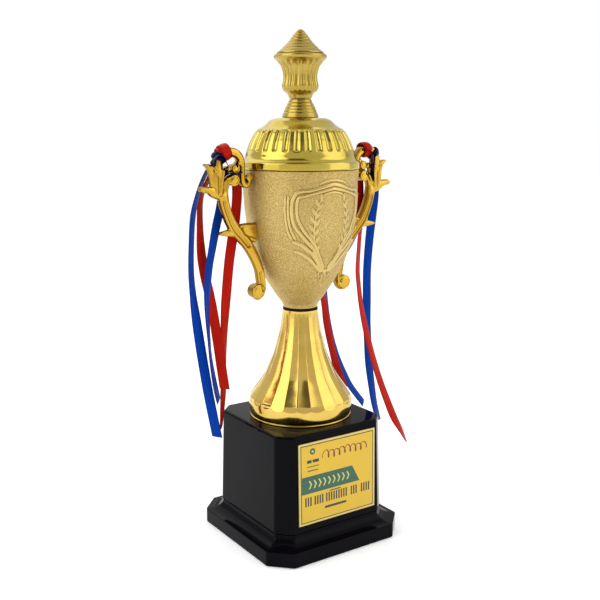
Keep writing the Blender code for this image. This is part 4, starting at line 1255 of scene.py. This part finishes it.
def lid():
    """The lid: shoulder, fluted dome, rolled fillet and flange."""
    line = outline([
        (STUD_HOLE, LID_TOP), (16.0, LID_TOP, 0.8), (19.4, 274.3), (21.1, 272.7), (22.8, 271.2),
        (24.8, 269.8), (26.6, 269.0, 0.4), (28.6, 267.1), (29.8, 265.2), (30.9, 263.2), (31.9, 261.4),
        (32.7, 259.5), (33.4, 257.6), (34.1, 255.7), (34.7, 253.8), (35.1, 252.0), (35.7, 250.6),
        (36.7, 249.6), (37.6, 249.1, 0.3), (38.2, 248.3, 0.3), (38.2, 244.6, 0.3), (37.6, LID_SEAT, 0.2),
        (34.7, LID_SEAT, 0.2), (34.7, 241.5, 0.2), (33.4, 241.5),
    ], step=0.55)
    inside = np.array([(33.4, 252.0), (30.0, 262.0), (26.6, 266.4), (17.2, 274.1), (STUD_HOLE, 274.1)])

    def dip(radius, height, angles):
        """Sinks round-ended flutes into the dome."""
        if not (254.0 < height < 268.6) or radius < np.interp(height, [254.0, 268.6], [33.4, 26.0]):
            return 0.0 * angles
        place = flute_place(angles - LID_TURN, LID_FLUTES)
        round_end = 1 - np.sqrt(np.clip(1 - place ** 2, 0, 1))
        lower = 254.9 + 2.2 * round_end
        upper = 268.6 - 1.2 * round_end
        fade = smoothstep(lower, lower + 1.8, height) * (1 - smoothstep(upper - 0.8, upper, height))
        return 1.15 * hollow(place, 0.5) ** 0.6 * fade

    mesh = turned("lid", np.vstack([line, inside]), even_angles(16 * LID_FLUTES), dip)
    add_piece("fluted_lid", mesh, GOLD_PALE, body=LID_BODY, replaces=["lid_dome"])


def ringed(line, low, high, pitch, depth):
    """An outline with round beads between two heights."""
    beads = depth * (1 - np.abs(np.sin(math.pi * (line[:, 1] - low) / pitch)) ** 0.7)
    inside = (line[:, 1] > low) & (line[:, 1] < high)
    made = line.copy()
    made[:, 0] -= np.where(inside, beads, 0.0)
    return made


def finial():
    """The ringed cone, the fluted urn and the ringed cap."""
    cone = outline([
        (6.8, FINIAL_WAIST), (7.3, 286.4), (8.3, 284.4), (9.6, 281.9), (10.6, 279.4), (11.3, 277.6, 0.3),
        (11.6, 276.6), (11.4, LID_TOP + GAP),
    ], step=0.24)
    cone = ringed(cone, low=277.4, high=287.5, pitch=2.02, depth=0.3)
    bore = np.array([(STUD_HOLE, LID_TOP + GAP), (STUD_HOLE, FINIAL_WAIST)])
    mesh = turned("cone", np.vstack([cone, bore]), even_angles(96))
    add_piece("ringed_cone", mesh, GOLD_FINIAL, body=LID_BODY, replaces=["finial_base"])

    urn = outline([
        (STUD_HOLE, URN_TOP), (15.0, URN_TOP, 0.3), (16.1, 314.6), (16.65, 313.5), (16.3, 312.3),
        (15.2, 311.2), (13.6, 309.4), (12.3, 307.7), (11.3, 305.2), (10.7, 302.2), (10.8, 299.1),
        (11.5, 296.1), (11.3, 294.2), (10.4, 292.4), (8.6, 291.0, 0.3), (7.9, 290.0), (7.4, 288.9),
        (7.0, FINIAL_WAIST + GAP, 0.1), (STUD_HOLE, FINIAL_WAIST + GAP),
    ], step=0.5)

    def dip(radius, height, angles):
        """Sinks the urn's flutes."""
        if radius < 9.0:
            return 0.0 * angles
        fade = smoothstep(291.4, 293.6, height) * (1 - smoothstep(309.6, 311.6, height))
        return 0.6 * hollow(flute_place(angles, URN_FLUTES), 0.25) * fade

    mesh = turned("urn", urn, even_angles(12 * URN_FLUTES), dip)
    add_piece("fluted_urn", mesh, GOLD_FINIAL, body=LID_BODY, replaces=["finial_urn"])

    cap = outline([
        (0.05, FINIAL_TIP), (1.2, 329.7), (2.2, 328.9), (3.4, 327.6), (5.1, 325.6), (7.7, 322.2),
        (11.4, 318.6), (13.2, 317.0), (14.6, 316.1, 0.3), (14.8, URN_TOP + GAP, 0.1),
        (STUD_HOLE, URN_TOP + GAP, 0.1), (STUD_HOLE, 321.0, 0.1), (0.05, 321.0),
    ], step=0.24)
    sloped = cap[:, 0] > STUD_HOLE + 0.4
    cap[sloped] = ringed(cap[sloped], low=316.4, high=328.2, pitch=1.8, depth=0.32)
    mesh = turned("cap", cap, even_angles(96), closed=False)
    add_piece("ringed_cap", mesh, GOLD_FINIAL, body=LID_BODY, replaces=["finial_cap"])


bell()
gasket()
lid()
finial()


# ---------------------------------------------------------------- plinth

def foot_corner(half):
    """The corner radius that goes with a half size, from the foot's rim in to the block."""
    return BLOCK_CORNER + (FOOT_CORNER - BLOCK_CORNER) * (half - BLOCK_HALF) / (FOOT_HALF - BLOCK_HALF)


def plinth():
    """The foot with its rim and cove, and the block with its softened top edge."""
    cove = [
        (FOOT_HALF - 0.7 - 9.3 * math.sin(turn), 10.2 + 6.7 * (1 - math.cos(turn)))
        for turn in np.radians(np.arange(0, 91, 15))
    ]
    skin = outline([
        (49.6, 0.4), (FOOT_HALF, 0.4, 0.8), (FOOT_HALF, 10.2, 0.7), (cove[0][0], 10.2, 0.25),
    ] + cove[1:-1] + [cove[-1] + (0.3,), (block_half(FOOT_TOP) - 6.0, FOOT_TOP)], step=1.1)
    underside = [(36.0, 14.2), (39.5, 14.2), (49.2, 7.6)]
    rings = [square_ring(half, foot_corner(half), height) for half, height in list(skin) + underside]
    mesh = mesh_from_rings("foot", rings, closed=True)
    add_piece("moulded_foot", mesh, BLACK, replaces=["plinth_foot"], weighted=True)

    low = FOOT_TOP + GAP
    foot = block_half(low)
    top = block_half(BLOCK_TOP)
    deck = BLOCK_TOP - 3.4
    skin = outline([
        (foot - 2.6, low), (foot, low, 0.25), (top, BLOCK_TOP, 1.7), (20.0, BLOCK_TOP),
        (12.0, BLOCK_TOP, 0.1), (12.0, deck, 0.1), (20.0, deck), (top - 2.6, deck, 0.5),
        (foot - 2.7, low + 0.2),
    ], step=2.2)
    rings = []
    for half, height in skin:
        corner = max(BLOCK_CORNER - (block_half(height) - half), 0.35 * half)
        rings.append(square_ring(half, corner, height))
    mesh = mesh_from_rings("block", rings, closed=True)
    add_piece("moulded_block", mesh, BLACK, replaces=["plinth_block"], weighted=True)


# How far each layer of ink on the plate stands above the one below.
INK_LAYER = 0.03


def plate_point(x, height, lift):
    """A point on the name plate's front, which leans back with the block."""
    return (x, -(block_half(height) + PLATE_FRONT + lift), height)


def plate_print(name, shapes, layer, finish, thickness=0.05, replaces=()):
    """Flat shapes on the plate, each an (x, height) outline, as thin solids in a numbered layer of ink."""
    lift = layer * INK_LAYER
    meshes = []
    for shape in shapes:
        back = [plate_point(x, height, lift - thickness) for x, height in shape]
        front = [plate_point(x, height, lift) for x, height in shape]
        meshes.append(mesh_from_rings("print", [back, front]))
        face_outward(meshes[-1])
    mesh = merge_meshes(name, meshes)
    made = add_piece(name, mesh, finish, replaces=replaces)
    made.data.set_sharp_from_angle(angle=math.radians(30))


def box_shape(left, right, low, high):
    """A rectangle outline."""
    return [(left, low), (right, low), (right, high), (left, high)]


def round_shape(x, height, radius, points=5, dents=0.0):
    """A disc outline, or a star whose inner points dent in by that share."""
    sides = 40 if dents == 0.0 else 2 * points
    made = []
    for index in range(sides):
        reach = radius * (1 - dents * (index % 2))
        turn = 2 * math.pi * index / sides + math.pi / 2
        made.append((x + reach * math.cos(turn), height + reach * math.sin(turn)))
    return made


def name_plate():
    """The printed plate: pale edge, ruled frame, banner, star, flourish and plain bars."""
    low, high, half = PLATE_BOTTOM, PLATE_TOP, PLATE_HALF
    plate_print("plate_sheet", [box_shape(-half, half, low, high)], 0, PLATE_EDGE, 0.75, ["name_plate"])
    inset, line = 1.3, 0.6
    outer = box_shape(-half + inset, half - inset, low + inset, high - inset)
    plate_print("plate_rule", [outer], 1, PLATE_LINE)
    inset += line
    panel = box_shape(-half + inset, half - inset, low + inset, high - inset)
    plate_print("plate_panel", [panel], 2, PLATE_YELLOW)
    left = -half + inset + 0.1
    banner = [(left, 43.0), (left + 45.6, 43.0), (left + 39.6, 54.4), (left, 54.4)]
    plate_print("plate_banner", [banner], 3, PLATE_GREEN)
    chevrons = []
    for index in range(9):
        start = left + 5.2 + 3.7 * index
        chevrons.append([
            (start, 46.0), (start + 1.1, 46.0), (start + 2.6, 48.7), (start + 1.1, 51.4), (start, 51.4),
            (start + 1.5, 48.7),
        ])
    plate_print("plate_banner_chevrons", chevrons, 4, PLATE_PALE)
    emblem = (left + 8.4, 70.4)
    plate_print("plate_emblem", [round_shape(*emblem, 2.1)], 3, PLATE_GREEN)
    plate_print("plate_emblem_star", [round_shape(*emblem, 1.2, dents=0.5)], 4, PLATE_PALE)
    bars = [
        box_shape(left + 4.2, left + 7.6, 63.0, 65.0), box_shape(left + 8.4, left + 13.2, 63.0, 65.0),
        box_shape(left + 4.2, left + 13.2, 60.4, 60.9), box_shape(left + 4.6, left + 12.6, 57.6, 58.2),
    ]
    for start, count in ((2.4, 3), (9.6, 4), (18.6, 9), (38.4, 3), (46.8, 4)):
        for index in range(count):
            foot = left + start + 1.95 * index
            bars.append(box_shape(foot, foot + 1.08, 34.6, 40.6))
    bars += [box_shape(-6.6, 2.2, 41.2, 41.9), box_shape(-10.4, 6.6, 30.4, 31.9)]
    plate_print("plate_bars", bars, 3, PLATE_DARK)
    count = 150
    coil = []
    for index in range(count + 1):
        turn = 2 * math.pi * 8 * index / count
        size = 2.0 + 1.0 * math.sin(turn / 2.6) ** 2
        along = left + 16.4 + 34.6 * index / count
        coil.append((along - 1.3 * math.sin(turn), 66.4 - size * math.cos(turn)))
    coil = np.array(coil)
    runs = runs_along(coil)
    thick = 0.24 + 0.2 * np.clip(-runs[:, 1], 0, 1)
    sides = np.stack([-runs[:, 1], runs[:, 0]], 1) * thick[:, None]
    above, below = coil + sides, coil - sides
    flourish = [(above[i], below[i], below[i + 1], above[i + 1]) for i in range(count)]
    plate_print("plate_flourish", flourish, 3, PLATE_RED)


plinth()
name_plate()


# ---------------------------------------------------------------- carried-over nodes

NODE_FINISH = {
    "bottom_pad": FELT, "ballast_weight": CONCRETE, "tie_rod": ZINC, "rod_washer_lower": ZINC,
    "rod_nut_lower": ZINC, "rod_washer_upper": ZINC, "rod_nut_upper": ZINC, "handle_screw_left": ZINC,
    "handle_screw_right": ZINC, "finial_stud": ZINC, "finial_washer": ZINC, "finial_nut": ZINC,
}
for node, finish in NODE_FINISH.items():
    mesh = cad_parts[node].data
    mesh.materials.clear()
    mesh.materials.append(finish)
